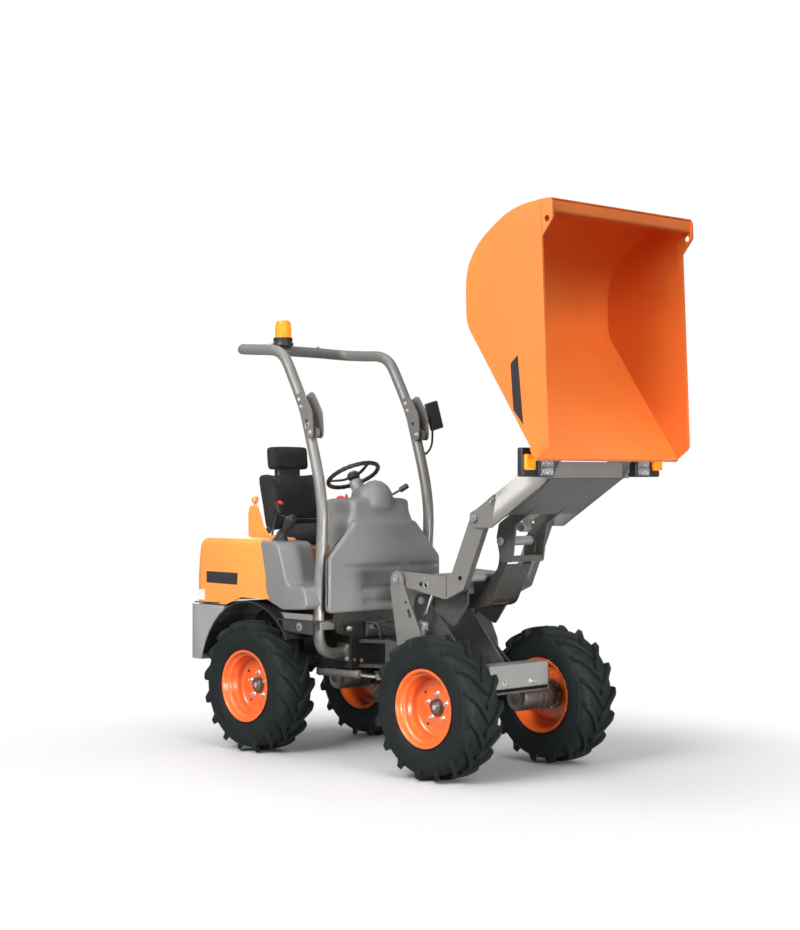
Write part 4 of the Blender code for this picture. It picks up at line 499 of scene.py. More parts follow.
class Shape:
    """One piece, put together from bodies that each have a finish."""

    def __init__(self, name):
        self.name = name
        self.mesh = bmesh.new()
        self.materials = []

    def take(self, part, material):
        """Move another mesh's faces into the piece."""
        if material not in self.materials:
            self.materials.append(material)
        bmesh.ops.recalc_face_normals(part, faces=part.faces)
        for face in part.faces:
            face.material_index = self.materials.index(material)
        mesh = bpy.data.meshes.new("part")
        part.to_mesh(mesh)
        part.free()
        self.mesh.from_mesh(mesh)
        bpy.data.meshes.remove(mesh)

    def loft(self, rings, material, closed=False):
        """A body through rings of points, its ends closed flat unless the rings go all the way round."""
        part = bmesh.new()
        rows = [[part.verts.new(point) for point in ring] for ring in rings]
        pairs = list(zip(rows, rows[1:]))
        if closed:
            pairs.append((rows[-1], rows[0]))
        else:
            part.faces.new(rows[0])
            part.faces.new(rows[-1])
        for lower, upper in pairs:
            for i, vert in enumerate(lower):
                j = (i + 1) % len(lower)
                part.faces.new((vert, lower[j], upper[j], upper[i]))
        self.take(part, material)

    def turned(self, profile, base, direction, material, segments=40, closed=False, start=0.0):
        """A body turned about a line, from (radius, distance along it) points."""
        along, across, up = square_to(direction)
        spin = circle_points(segments, start)
        self.loft([[Vector(base) + along * reach + (across * c + up * s) * radius for c, s in spin]
                   for radius, reach in profile], material, closed)

    def rod(self, start, end, radius, material, segments=24, edge=0.0015):
        length = (Vector(end) - Vector(start)).length
        edge = min(edge, length / 3, radius / 3)
        self.turned([(radius - edge, 0.0), (radius, edge), (radius, length - edge),
                     (radius - edge, length)], start, Vector(end) - Vector(start), material, segments)

    def tube(self, points, radius, material, sides=20, closed=False, flatten=1.0):
        """A round bar along points, of one radius or one for each point."""
        points = [Vector(point) for point in points]
        radii = radius if isinstance(radius, list) else [radius] * len(points)
        count = len(points)
        rings = []
        across = None
        for i, point in enumerate(points):
            before = points[(i - 1) % count if closed else max(i - 1, 0)]
            after = points[(i + 1) % count if closed else min(i + 1, count - 1)]
            along = (after - before).normalized()
            if across is None:
                across = square_to(along)[1]
            across = (across - along * across.dot(along)).normalized()
            up = along.cross(across)
            rings.append([point + (across * c + up * s * flatten) * radii[i]
                          for c, s in circle_points(sides)])
        self.loft(rings, material, closed)

    def slab(self, outline, place, thickness, material, edge=0.0015, segments=2):
        """A flat outline given its thickness, with rounded edges; place turns (u, v, w) into a point."""
        part = bmesh.new()
        rows = [[part.verts.new(place(u, v, w)) for u, v in outline]
                for w in (-thickness / 2, thickness / 2)]
        part.faces.new(rows[0])
        part.faces.new(rows[1])
        for i, vert in enumerate(rows[0]):
            j = (i + 1) % len(outline)
            part.faces.new((vert, rows[0][j], rows[1][j], rows[1][i]))
        if edge:
            sharp = [e for e in part.edges if e.calc_face_angle(0) > 0.6]
            bmesh.ops.bevel(part, geom=sharp, offset=edge, segments=segments, profile=0.5, affect="EDGES",
                            clamp_overlap=True)
        self.take(part, material)

    def block(self, low, high, material, edge=0.003, segments=3, turn=None):
        """A box between two corners with rounded edges, turned about its middle."""
        low, high = Vector(low), Vector(high)
        middle, size = (low + high) / 2, high - low
        part = bmesh.new()
        bmesh.ops.create_cube(part, size=1.0)
        bmesh.ops.scale(part, vec=size, verts=part.verts)
        bmesh.ops.bevel(part, geom=part.edges[:], offset=edge, segments=segments, profile=0.5,
                        affect="EDGES")
        move = Matrix.Translation(middle)
        if turn:
            move = move @ turn
        part.transform(move)
        self.take(part, material)

    def bolt(self, place, direction, radius, material, washer=True):
        """A hexagon head with its chamfer, on a washer."""
        height = radius * 0.75
        base = Vector(place)
        along = Vector(direction).normalized()
        if washer:
            self.turned([(radius * 1.25, 0.0), (radius * 1.35, 0.0006), (radius * 1.35, 0.0018),
                         (radius * 1.2, 0.0024)], base, along, material, 20)
            base = base + along * 0.0020
        self.turned([(radius, 0.0), (radius, height * 0.8), (radius * 0.86, height)], base, along, material,
                    6, start=0.3)
        self.turned([(radius * 0.50, height * 0.9), (radius * 0.50, height + 0.0012),
                     (radius * 0.40, height + 0.0020)], base, along, material, 14)

    def welds(self, points, radius, material):
        """A bead of overlapping ripples along a seam."""
        path = smooth_path(points, 3)
        length = sum((b - a).length for a, b in zip(path, path[1:]))
        count = max(int(length / (radius * 0.9)), 4)
        line = []
        for i in range(count + 1):
            place = i / count * (len(path) - 1)
            low = min(int(place), len(path) - 2)
            line.append(path[low].lerp(path[low + 1], place - low))
        self.tube(line, [radius * (1.0 if i % 2 else 0.82) for i in range(count + 1)], material, sides=8)

    def as_mesh(self):
        mesh = bpy.data.meshes.new(self.name)
        self.mesh.to_mesh(mesh)
        self.mesh.free()
        for material in self.materials:
            mesh.materials.append(material)
        return mesh

    def done(self, body, replaces=()):
        """Make the object, ride it on its body and stand it in for the nodes it replaces."""
        place_piece(self.name, self.as_mesh(), body, replaces)


def add_object(name, data):
    item = bpy.data.objects.new(name, data)
    bpy.context.scene.collection.objects.link(item)
    return item


def place_piece(name, mesh, body, replaces=(), angle=35.0):
    mesh.shade_smooth()
    mesh.set_sharp_from_angle(angle=math.radians(angle))
    piece = add_object(name, mesh)
    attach(piece, body)
    if replaces:
        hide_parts(*replaces)
    return piece


def applied(item):
    """The mesh of an object with its modifiers applied; the object goes."""
    depsgraph = bpy.context.evaluated_depsgraph_get()
    mesh = bpy.data.meshes.new_from_object(item.evaluated_get(depsgraph))
    bpy.data.objects.remove(item, do_unlink=True)
    return mesh


def melted(name, nodes, voxel, rounds, material, added=None):
    """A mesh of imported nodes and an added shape, melted into one soft-edged moulding."""
    bm = added.mesh if added else bmesh.new()
    for node in nodes:
        bm.from_mesh(NODES[node].data)
    mesh = bpy.data.meshes.new(name)
    bm.to_mesh(mesh)
    bm.free()
    item = add_object(name, mesh)
    remesh = item.modifiers.new("melt", "REMESH")
    remesh.mode = "VOXEL"
    remesh.voxel_size = voxel
    soften = item.modifiers.new("soften", "SMOOTH")
    soften.factor = 0.5
    soften.iterations = rounds
    mesh = applied(item)
    mesh.materials.clear()
    mesh.materials.append(material)
    return mesh


def rounded_copy(name, node, material, body, edge, lit_faces=None):
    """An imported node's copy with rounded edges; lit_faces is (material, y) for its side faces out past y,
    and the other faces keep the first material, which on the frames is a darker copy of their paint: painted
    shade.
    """
    bm = bmesh.new()
    bm.from_mesh(NODES[node].data)
    bmesh.ops.remove_doubles(bm, verts=bm.verts, dist=0.0001)
    bmesh.ops.dissolve_limit(bm, angle_limit=math.radians(1.0), verts=bm.verts, edges=bm.edges)
    sharp = [each for each in bm.edges if each.calc_face_angle(0) > 0.5]
    if edge:
        bmesh.ops.bevel(bm, geom=sharp, offset=edge, segments=3, profile=0.5, affect="EDGES",
                        clamp_overlap=True)
    for face in bm.faces:
        face.material_index = 0
        # Side faces out past y take the lit material; the others keep the first, painted shade on the
        # frames.
        if lit_faces and abs(face.calc_center_median().y) > lit_faces[1] and abs(face.normal.y) > 0.7:
            face.material_index = 1
    mesh = bpy.data.meshes.new(name)
    bm.to_mesh(mesh)
    bm.free()
    mesh.materials.append(material)
    if lit_faces:
        mesh.materials.append(lit_faces[0])
    place_piece(name, mesh, body, (node,), angle=20)


# Wheels

TRACK_HALF = 0.462
TYRE_RADIUS = 0.387
BARS = 16  # on each half of the tread
BAR_SWEEP = 24.0  # degrees round the wheel from a bar's inner end to its shoulder
WHEELS = (("front", 0.6167), ("rear", -0.8903))

# Right half of a tyre's section: distance from its middle, radius
TYRE_SECTION = [
    (0.000, 0.3620), (0.030, 0.3617), (0.060, 0.3605), (0.085, 0.3580), (0.100, 0.3535),
    (0.109, 0.3465), (0.1150, 0.3380), (0.1190, 0.3270), (0.1215, 0.3150), (0.1222, 0.3120),
    (0.1245, 0.3105), (0.1247, 0.3060), (0.1226, 0.3040), (0.1236, 0.2900), (0.1238, 0.2720),
    (0.1228, 0.2560), (0.1205, 0.2440), (0.1180, 0.2380), (0.1188, 0.2340), (0.1172, 0.2310),
    (0.1135, 0.2290), (0.1130, 0.2235), (0.1085, 0.2190), (0.1040, 0.2165), (0.1030, 0.2060),
    (0.0950, 0.2020)]

RIM_SECTION = [
    (0.2010, 0.0960), (0.2040, 0.1010), (0.2110, 0.1040), (0.2130, 0.1085), (0.2115, 0.1130),
    (0.2060, 0.1142), (0.2000, 0.1125), (0.1960, 0.1080), (0.1945, 0.1000), (0.1930, 0.0900),
    (0.1895, 0.0850), (0.1790, 0.0815), (0.1755, 0.0770), (0.1745, 0.0600), (0.1715, 0.0500),
    (0.1640, 0.0420), (0.1600, 0.0340), (0.1585, 0.0160), (0.1560, 0.0060), (0.1490, 0.0000),
    (0.1380, -0.0030), (0.1120, -0.0025), (0.1000, 0.0010), (0.0930, 0.0020), (0.0600, 0.0020),
    (0.0520, 0.0010), (0.0450, -0.0020), (0.0450, -0.0110), (0.1300, -0.0110), (0.1500, -0.0080),
    (0.1660, -0.0020), (0.1850, -0.0080), (0.1905, -0.0200), (0.1905, -0.0800), (0.1945, -0.1000),
    (0.2060, -0.1060), (0.2115, -0.1130), (0.2130, -0.1085), (0.2110, -0.1040), (0.2040, -0.1010),
    (0.2010, -0.0960), (0.1960, -0.0800), (0.1955, 0.0400), (0.1975, 0.0800)]


# Stations along a bar: across, the top's drop, radius of the foot, share of the sweep, half width of the top
BAR_STATIONS = (
    (-0.006, 0.0010, 0.358, -0.02, 0.0115),
    (0.004, 0.0, 0.357, 0.04, 0.0130),
    (0.030, 0.0, 0.356, 0.27, 0.0135),
    (0.060, 0.0006, 0.354, 0.53, 0.0140),
    (0.088, 0.0020, 0.350, 0.75, 0.0150),
    (0.108, 0.0050, 0.344, 0.88, 0.0160),
    (0.1200, 0.0120, 0.338, 0.95, 0.0165),
    (0.1248, 0.0270, 0.330, 0.985, 0.0160),
    (0.1240, 0.0420, 0.326, 1.0, 0.0135),
    (0.1210, 0.0530, 0.322, 1.0, 0.0100),
)


def bar_rings(side, start):
    """A tread bar from just past the middle, curving out over the shoulder and down the wall."""
    rings = []
    for across, drop, foot, sweep, half in BAR_STATIONS:
        top = TYRE_RADIUS - drop
        middle = start + math.radians(BAR_SWEEP) * sweep
        inner = min(across, 0.104)
        ring = []
        half_section = ((foot, 1.35, inner), (top - 0.006, 1.14, across * 0.995),
                        (top - 0.0012, 1.02, across), (top, 0.86, across))
        section = [(radius, -wide, place) for radius, wide, place in half_section]
        for radius, wide, place in [*section, *reversed(half_section)]:
            angle = middle + half * wide / radius
            ring.append(Vector((radius * math.cos(angle), place * side, radius * math.sin(angle))))
        rings.append(ring)
    return rings


def make_tyres():
    for side, word in SIDES:
        shape = Shape("tyre_" + word)
        section = [(radius, -across) for across, radius in reversed(TYRE_SECTION)]
        section += [(radius, across) for across, radius in TYRE_SECTION[1:]]
        shape.turned(section, (0, 0, 0), Y_AXIS, tyre_rubber(), 120, closed=True)
        for half in (-1, 1):
            for count in range(BARS):
                shape.loft(bar_rings(half, 2 * math.pi * (count + 0.25 * half) / BARS), tyre_rubber())
        mesh = shape.as_mesh()
        mesh.shade_smooth()
        mesh.set_sharp_from_angle(angle=math.radians(38))
        for end, axle_x in WHEELS:
            name = end + "_" + word
            piece = add_object("tread_tyre_" + name, mesh)
            piece.location = (axle_x, side * TRACK_HALF, TYRE_RADIUS)
            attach(piece, name + "_wheel")
            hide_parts("tyre_" + name)


def make_rims():
    """Pressed dish wheels with their nuts, hub cap and valve."""
    for side, word in SIDES:
        for end, axle_x in WHEELS:
            name = end + "_" + word
            centre = Vector((axle_x, side * TRACK_HALF, TYRE_RADIUS))
            out = Y_AXIS * side
            shape = Shape("dish_rim_" + name)
            shape.turned(RIM_SECTION, centre, out, rim_orange(), 88, closed=True)
            disc = centre + out * 0.0020
            shape.turned([(0.0448, -0.0130), (0.0448, 0.009), (0.0425, 0.013), (0.0405, 0.0135),
                          (0.0395, 0.0070), (0.0340, 0.0060), (0.0330, 0.0130), (0.0300, 0.0160),
                          (0.0120, 0.0170)], disc, out, dark_steel(), 40)
            shape.bolt(disc + out * 0.0165, out, 0.016, zinc_bolt(), washer=False)
            for c, s in circle_points(5, 0.314):
                nut = disc + Vector((c * 0.072, 0, s * 0.072))
                shape.turned([(0.0165, 0.0), (0.0165, 0.002), (0.0125, 0.005)], nut, out, zinc_bolt(), 20)
                shape.bolt(nut + out * 0.003, out, 0.0125, zinc_bolt(), washer=False)
                shape.rod(nut + out * 0.008, nut + out * 0.022, 0.0060, zinc_bolt(), 14)
            for c, s in circle_points(4, 0.9):
                hole = centre + Vector((c * 0.120, 0, s * 0.120)) - out * 0.0025
                shape.turned([(0.0085, 0.0), (0.0085, 0.0012), (0.0060, 0.0016)], hole, out, shadow_black(),
                             18)
            valve = centre + Vector((0.126, 0, 0.078)) - out * 0.0020
            shape.rod(valve, valve + Vector((0.004, side * 0.034, 0.002)), 0.0042, black_plastic(), 12)
            shape.done(name + "_wheel", ("rim_" + name,))


# Roll bar

POST_RADIUS = 0.0325
POST_Y = 0.430
HINGE_PIN = Vector((-0.4173, 0.0, 1.881))
BEACON = Vector((-1.1143, -0.090, 2.4385))
LOWER_POST = [(-0.5043, 0.430, 2.000), (-0.4473, 0.430, 1.820), (-0.4033, 0.430, 1.674),
              (-0.3713, 0.430, 1.540), (-0.3543, 0.430, 1.376), (-0.3673, 0.430, 1.145),
              (-0.3873, 0.430, 0.920), (-0.3863, 0.430, 0.760), (-0.3863, 0.428, 0.685),
              (-0.3863, 0.398, 0.627), (-0.3863, 0.335, 0.600), (-0.3863, 0.236, 0.600)]
UPPER_HOOP = [(-0.5063, 0.430, 2.004), (-0.5433, 0.430, 2.080), (-0.6193, 0.430, 2.216),
              (-0.6933, 0.430, 2.330), (-0.7833, 0.430, 2.378), (-0.9333, 0.430, 2.390),
              (-1.0583, 0.430, 2.399), (-1.1133, 0.408, 2.404), (-1.1333, 0.345, 2.407),
              (-1.1303, 0.180, 2.410)]

# A hinge cheek's outline (x, z) from the pin
CHEEK = [(-0.022, -0.030), (0.008, -0.032), (0.022, -0.018), (0.026, 0.010), (0.018, 0.110), (0.006, 0.138),
         (-0.048, 0.220), (-0.064, 0.238), (-0.082, 0.240), (-0.118, 0.222), (-0.122, 0.206),
         (-0.034, -0.008)]


def mirrored(points, side):
    return [(x, y * side, z) for x, y, z in points]


def make_roll_bar():
    for side, word in SIDES:
        post = Shape("roll_bar_lower_" + word)
        post.tube(smooth_path(mirrored(LOWER_POST, side)), POST_RADIUS, frame_grey(), 28)
        out = Y_AXIS * side
        flange = [(-0.4383, 0.548), (-0.3423, 0.548), (-0.3423, 0.652), (-0.4383, 0.652)]
        post.slab(flange, side_view(side * 0.2335), 0.0118, frame_grey(), 0.003)
        post.turned([(0.0335, 0.0), (0.0395, 0.002), (0.0375, 0.006), (0.0335, 0.010)],
                    (-0.3863, side * 0.2390, 0.600), out, frame_grey(), 28)
        for level in (0.564, 0.636):
            post.bolt((-0.3543, side * 0.2395, level), out, 0.0105, zinc_bolt())
        post.block((-0.4313, side * 0.3465 if side > 0 else -0.4595, 0.7405),
                   (-0.3413, 0.4595 if side > 0 else -0.3465, 0.7915), frame_grey(), 0.006)
        lug = [(-0.4573, 1.836), (-0.4173, 1.849), (-0.3963, 1.861), (-0.3923, 1.881), (-0.3963, 1.901),
               (-0.4173, 1.913), (-0.4673, 1.926)]
        post.slab(lug, side_view(side * POST_Y), 0.029, frame_grey(), 0.004)
        post.done("root", ("roll_bar_post_" + word,))
    hoop = Shape("roll_bar_upper")
    knots = mirrored(UPPER_HOOP, -1) + mirrored(reversed(UPPER_HOOP), 1)
    hoop.tube(smooth_path(knots), POST_RADIUS, frame_grey(), 28)
    for side in (-1, 1):
        for offset in (-1, 1):
            face = side * POST_Y + offset * 0.0388
            cheek = [(HINGE_PIN.x + dx, HINGE_PIN.z + dz) for dx, dz in CHEEK]
            hoop.slab(cheek, side_view(face), 0.0078, frame_grey(), 0.002)
            out = Y_AXIS * offset
            hoop.bolt(HINGE_PIN + Vector((0, face + offset * 0.0039, 0)), out, 0.0125, zinc_bolt())
            for dx, dz in ((-0.080, 0.150), (-0.098, 0.195)):
                hoop.bolt(HINGE_PIN + Vector((dx, face + offset * 0.0039, dz)), out, 0.0105, zinc_bolt())
            hoop.turned([(0.009, 0.0), (0.009, 0.002), (0.006, 0.003)],
                        HINGE_PIN + Vector((-0.030, face + offset * 0.0038, 0.070)), out, shadow_black(),
                        20)
    for side in (-1, 1):
        grip = HINGE_PIN + Vector((-0.006, side * 0.480, 0.052))
        hoop.rod(grip - Y_AXIS * side * 0.012, grip, 0.0065, zinc_bolt(), 16)
        ring = [grip + Vector((0.016 * c - 0.014, -side * 0.003, 0.016 * s - 0.012))
                for c, s in circle_points(20)]
        hoop.tube(ring, 0.0017, zinc_bolt(), 8, closed=True)
    for angle_y in (-0.20, 0.20):
        hoop.bolt((-1.1133, angle_y, 2.4423), Z_AXIS, 0.008, zinc_bolt())
    hoop.done("roll_bar", ("roll_bar_hoop",))


def make_beacon():
    """An amber dome with its inner lens rings on a black rubber foot."""
    shape = Shape("beacon_lamp")
    shape.turned([(0.0560, -0.004), (0.0655, 0.002), (0.0660, 0.012), (0.0635, 0.020), (0.0600, 0.024),
                  (0.0590, 0.034), (0.0610, 0.038), (0.0610, 0.046), (0.0580, 0.050), (0.0540, 0.052)],
                 BEACON, Z_AXIS, black_plastic(), 48)
    rings = [(0.0535, 0.050)]
    for ring in range(11):
        level = 0.056 + ring * 0.0075
        swell = 0.0545 - 0.0035 * (ring / 10) ** 2
        rings += [(swell, level), (swell - 0.0016, level + 0.0038)]
    rings += [(0.0490, 0.1390), (0.0470, 0.1480), (0.0420, 0.1545), (0.0320, 0.1585), (0.0180, 0.1603),
              (0.0060, 0.1608)]
    shape.turned(rings, BEACON, Z_AXIS, amber_lens(), 56)
    for c, s in circle_points(3, 0.4):
        shape.bolt(BEACON + Vector((c * 0.0625, s * 0.0625, 0.020)), Z_AXIS, 0.0035, zinc_bolt(),
                   washer=False)
    shape.done("roll_bar", ("beacon",))


# Hood and mouldings

MOULDING_ANGLE = 80.0  # degrees, above which a moulding's edge is drawn sharp
DENT_EDGE = 0.008
HOOD_FACE = 0.5556
FILM = 0.0008


def pressed(mesh, dents):
    """Push a moulding's front in along bars: each is low y, high y, height, half height, depth."""
    front = max(vertex.co.x for vertex in mesh.vertices)
    for vertex in mesh.vertices:
        place = vertex.co
        if place.x < front - 0.012:
            continue
        for low, high, level, half, depth in dents:
            across = max(low - place.y, place.y - high, 0.0)
            up = max(abs(place.z - level) - half, 0.0)
            reach = math.hypot(across, up)
            if reach < DENT_EDGE:
                place.x -= depth * (0.5 + 0.5 * math.cos(math.pi * reach / DENT_EDGE))


def make_console():
    pod = Shape("pod")
    pod.block((-0.566, -0.235, 1.200), (-0.310, 0.235, 1.497), cowl_plastic(), 0.030)
    pod.block((-0.470, -0.125, 1.440), (-0.330, 0.105, 1.560), cowl_plastic(), 0.040)
    mesh = melted("moulded_console", ("front_cowl", "dash"), 0.0062, 14, cowl_plastic(), pod)
    dents = [(-0.335, 0.115, 1.098, 0.010, 0.006), (0.190, 0.415, 1.098, 0.010, 0.006),
             (-0.195, 0.195, 0.976, 0.010, 0.006), (-0.180, 0.180, 0.893, 0.010, 0.006)]
    pressed(mesh, dents)
    place_piece("moulded_console", mesh, "root", ("front_cowl", "dash"), MOULDING_ANGLE)
    shape = Shape("console_fittings")
    shape.tube(smooth_path([(-0.288, -0.450, 0.880), (-0.288, -0.452, 1.120), (-0.300, -0.420, 1.190),
                            (-0.300, -0.262, 1.340), (-0.310, -0.225, 1.372)]), 0.0028, shadow_black(), 8)
    stalk = Vector((-0.300, 0.075, 1.520))
    shape.rod(stalk, stalk + Vector((0.045, 0.030, 0.030)), 0.007, black_plastic(), 16)
    shape.rod(stalk + Vector((0.038, 0.025, 0.025)), stalk + Vector((0.078, 0.052, 0.055)), 0.017,
              black_plastic(), 20, 0.004)
    lever = smooth_path([(-0.455, -0.105, 1.440), (-0.470, -0.128, 1.485), (-0.505, -0.150, 1.505),
                         (-0.530, -0.158, 1.498)])
    shape.tube(lever, [0.006] * 6 + [0.009] * (len(lever) - 6), red_plastic(), 12)
    shape.tube([(-0.470, -0.128, 1.485), (-0.452, -0.150, 1.500), (-0.448, -0.162, 1.522)], 0.007,
               red_plastic(), 12)
    shape.turned([(0.034, 0.0), (0.040, 0.004), (0.040, 0.014), (0.036, 0.018), (0.034, 0.0165)],
                 (-0.452, 0.0, 1.520), (-0.55, 0, 0.62), black_plastic(), 36)
    shape.turned([(0.0335, 0.012), (0.0335, 0.0168)], (-0.452, 0.0, 1.520), (-0.55, 0, 0.62), gauge_face(),
                 36)
    shape.done("root")


def make_side_panels():
    for side, word in SIDES:
        node = "side_panel_" + word
        panel = Shape(node)
        outline = [(-0.772, 1.250, 0.02), (-0.610, 1.242, 0.06), (-0.522, 0.992, 0.05),
                   (-0.377, 0.994, 0.03), (-0.351, 0.862, 0.03), (-0.567, 0.851, 0.03),
                   (-0.725, 0.909, 0.02), (-0.740, 0.934, 0.02)]
        panel.slab(rounded(outline), side_view(side * 0.421), 0.268, cowl_plastic(), 0.012, 3)
        mesh = melted("moulded_" + node, (), 0.0065, 12, cowl_plastic(), panel)
        place_piece("moulded_" + node, mesh, "root", (node,), MOULDING_ANGLE)


def make_counterweight():
    rounded_copy("cast_counterweight", "counterweight", weight_grey(), "root", 0.010)


def film_patch(shape, corners, side, lift, material):
    """A thin blank film on a flat side, from (x, z) corners."""
    shape.slab(corners, side_view(side * lift), FILM, material, 0)


def make_hood():
    rounded_copy("engine_hood", "hood", body_orange(), "hood", 0)
    trim = Shape("hood_trim")
    for side in (-1, 1):
        label = [(-1.277, 1.053), (-0.977, 1.052), (-0.981, 0.981), (-1.277, 0.984)]
        film_patch(trim, label, side, HOOD_FACE, black_film())
        plate = [(-1.363, 0.940), (-1.295, 0.940), (-1.295, 0.877), (-1.363, 0.877)]
        film_patch(trim, plate, side, HOOD_FACE, white_film())
    for side in (-1, 1):
        trim.tube(smooth_path([(-1.395, side * 0.552, 0.862), (-1.300, side * 0.556, 0.862),
                               (-1.150, side * 0.556, 0.866)]), 0.004, black_plastic(), 10)
    for level in (1.10, 1.13, 1.16, 1.19):
        back = -1.372 + (level - 1.10) * 0.22
        trim.block((back, -0.30, level - 0.006), (back + 0.010, 0.30, level + 0.006), shadow_black(), 0.003)
    trim.turned([(0.020, 0.0), (0.022, 0.002), (0.022, 0.007), (0.018, 0.010), (0.010, 0.011)],
                (-1.347, 0.0, 1.228), (-1, 0, 0.2), black_plastic(), 30)
    trim.done("hood")


def make_seat_frame():
    """The seat base, the bracket at its side and the belt."""
    rounded_copy("orange_seat_base", "seat_base", body_orange(), "root", 0.006)
    shape = Shape("seat_fittings")
    bracket = [(-1.235, 1.264), (-1.033, 1.262), (-1.091, 1.317), (-1.157, 1.450), (-1.220, 1.447),
               (-1.238, 1.400)]
    shape.slab(bracket, side_view(-0.258), 0.010, body_orange(), 0.003)
    shape.block((-1.235, -0.262, 1.255), (-0.990, -0.243, 1.268), body_orange(), 0.004)
    shape.slab([(-1.060, 1.264), (-0.950, 1.264), (-0.950, 1.130), (-1.040, 1.130)], side_view(-0.2440),
               0.0100, body_orange(), 0.003)
    knob = Vector((-1.178, -0.258, 1.448))
    shape.rod(knob, knob + Z_AXIS * 0.016, 0.008, dark_steel(), 16)
    shape.turned([(0.006, 0.012), (0.014, 0.016), (0.0205, 0.028), (0.0215, 0.040), (0.0175, 0.052),
                  (0.008, 0.058)], knob, Z_AXIS, body_orange(), 28)
    shape.block((-0.985, -0.262, 1.400), (-0.955, -0.238, 1.470), black_plastic(), 0.005,
                turn=Matrix.Rotation(math.radians(-22), 4, "Y"))
    shape.block((-0.962, -0.261, 1.462), (-0.928, -0.239, 1.476), red_plastic(), 0.003,
                turn=Matrix.Rotation(math.radians(28), 4, "Y"))
    shape.tube(smooth_path([(-0.985, -0.250, 1.405), (-1.000, -0.252, 1.350), (-1.020, -0.253, 1.270)]),
               0.008, webbing(), 12, flatten=0.5)
    belt = [(-1.045, 0.200, 1.330), (-0.985, 0.150, 1.362), (-0.930, 0.060, 1.368), (-0.920, -0.060, 1.368),
            (-0.950, -0.160, 1.372), (-0.985, -0.215, 1.395)]
    rings = []
    for point in smooth_path(belt, 5):
        rings.append([point + Vector((dx, 0, dz)) for dx, dz in ((-0.022, -0.0010), (0.022, -0.0010),
                                                                 (0.022, 0.0012), (-0.022, 0.0012))])
    shape.loft(rings, webbing())
    for side in (-1, 1):
        shape.rod((-1.062, side * 0.236, 1.300), (-1.062, side * 0.252, 1.300), 0.022, black_plastic(), 28,
                  0.004)
    for row in (-0.19, 0.19):
        shape.block((-1.055, row - 0.016, 1.2105), (-0.640, row + 0.016, 1.2200), dark_steel(), 0.002)
    shape.done("root")


PAD_VOXEL = 0.0085
PAD_FRAMES = 20  # of the cloth solver
PAD_ROOM = 0.004  # that a pad may stand out of its solid's box


def bolstered(size, bolster, rounding, crown):
    """A pad's rings across its width, from its half sizes, bolster, corner rounding and crown."""
    half_x, half_y, half_z = size
    rings = []
    count = 22
    for i in range(count + 1):
        t = -math.cos(math.pi * i / count)
        across = abs(t)
        corner = rounding / half_y
        edge = (1 - max((across - 1 + corner) / corner, 0.0) ** 2.4) ** 0.42 if across < 1 else 0.0
        raised = (bolster * max(0.0, 1 - abs(across - 0.80) / 0.26) ** 0.8
                  + crown * (1 - min(across / 0.55, 1.0) ** 2))
        ring = []
        for c, s in circle_points(40):
            u = math.copysign(abs(c) ** 0.42, c) * half_x * (0.90 + 0.10 * edge)
            w = math.copysign(abs(s) ** 0.50, s) * half_z * max(edge, 0.30)
            if s > 0:
                w += raised * s * edge
            ring.append((u, t * half_y, w))
        rings.append(ring)
    return rings


def stuffed(name, rings, place, node, material, room):
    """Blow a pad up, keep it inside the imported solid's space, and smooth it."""
    shape = Shape(name)
    shape.loft([[place @ Vector(point) for point in ring] for ring in rings], material)
    item = add_object(name, shape.as_mesh())
    remesh = item.modifiers.new("cover", "REMESH")
    remesh.mode = "VOXEL"
    remesh.voxel_size = PAD_VOXEL
    mesh = applied(item)
    item = add_object(name, mesh)
    before = [vertex.co.copy() for vertex in mesh.vertices]
    cloth = item.modifiers.new("padding", "CLOTH")
    settings = cloth.settings
    settings.use_pressure = True
    settings.uniform_pressure_force = 4.0
    settings.effector_weights.gravity = 0.0
    settings.tension_stiffness = 25.0
    settings.compression_stiffness = 25.0
    settings.bending_stiffness = 1.2
    cloth.point_cache.frame_start = 1
    cloth.point_cache.frame_end = PAD_FRAMES
    scene = bpy.context.scene
    for number in range(1, PAD_FRAMES + 1):
        scene.frame_set(number)
    mesh = applied(item)
    scene.frame_set(1)
    for vertex, start in zip(mesh.vertices, before):
        move = vertex.co - start
        if move.length > room:
            vertex.co = start + move.normalized() * room
    item = add_object(name, mesh)
    subdivide = item.modifiers.new("smooth", "SUBSURF")
    subdivide.levels = 1
    subdivide.render_levels = 1
    mesh = applied(item)
    low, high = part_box(node)
    for vertex in mesh.vertices:
        vertex.co = [min(max(c, a - PAD_ROOM), b + PAD_ROOM) for c, a, b in zip(vertex.co, low, high)]
    mesh.materials.clear()
    mesh.materials.append(material)
    piece = place_piece(name, mesh, "root", (node,), angle=MOULDING_ANGLE)


def make_seat():
    cushion = Matrix.Translation((-0.822, 0, 1.272)) @ Matrix.Rotation(math.radians(-3), 4, "Y")
    stuffed("seat_cushion_pad", bolstered((0.228, 0.228, 0.048), 0.016, 0.055, 0.004), cushion,
            "seat_cushion", seat_cloth(), 0.010)
    lean = math.radians(13.5)
    back = Matrix.Translation((-1.1330, 0, 1.468)) @ Matrix.Rotation(math.pi / 2 - lean, 4, "Y")
    stuffed("seat_back_pad", bolstered((0.178, 0.230, 0.044), 0.024, 0.050, -0.006), back, "seat_back",
            seat_cloth(), 0.009)
    rest = Matrix.Translation((-1.1740, 0, 1.7420)) @ Matrix.Rotation(math.pi / 2 - math.radians(6), 4, "Y")
    stuffed("headrest_pad", bolstered((0.070, 0.152, 0.038), 0.0, 0.040, 0.004), rest, "headrest",
            seat_cloth(), 0.007)
    shape = Shape("headrest_stem")
    shape.block((-1.196, -0.095, 1.625), (-1.156, 0.095, 1.690), seat_vinyl(), 0.014)
    shape.done("root")


# Controls

WHEEL_HUB = Vector((-0.5633, 0.0, 1.635))
WHEEL_AXIS = Vector((-0.4695, 0.0, 0.8829))
GRIP_POINTS = 96


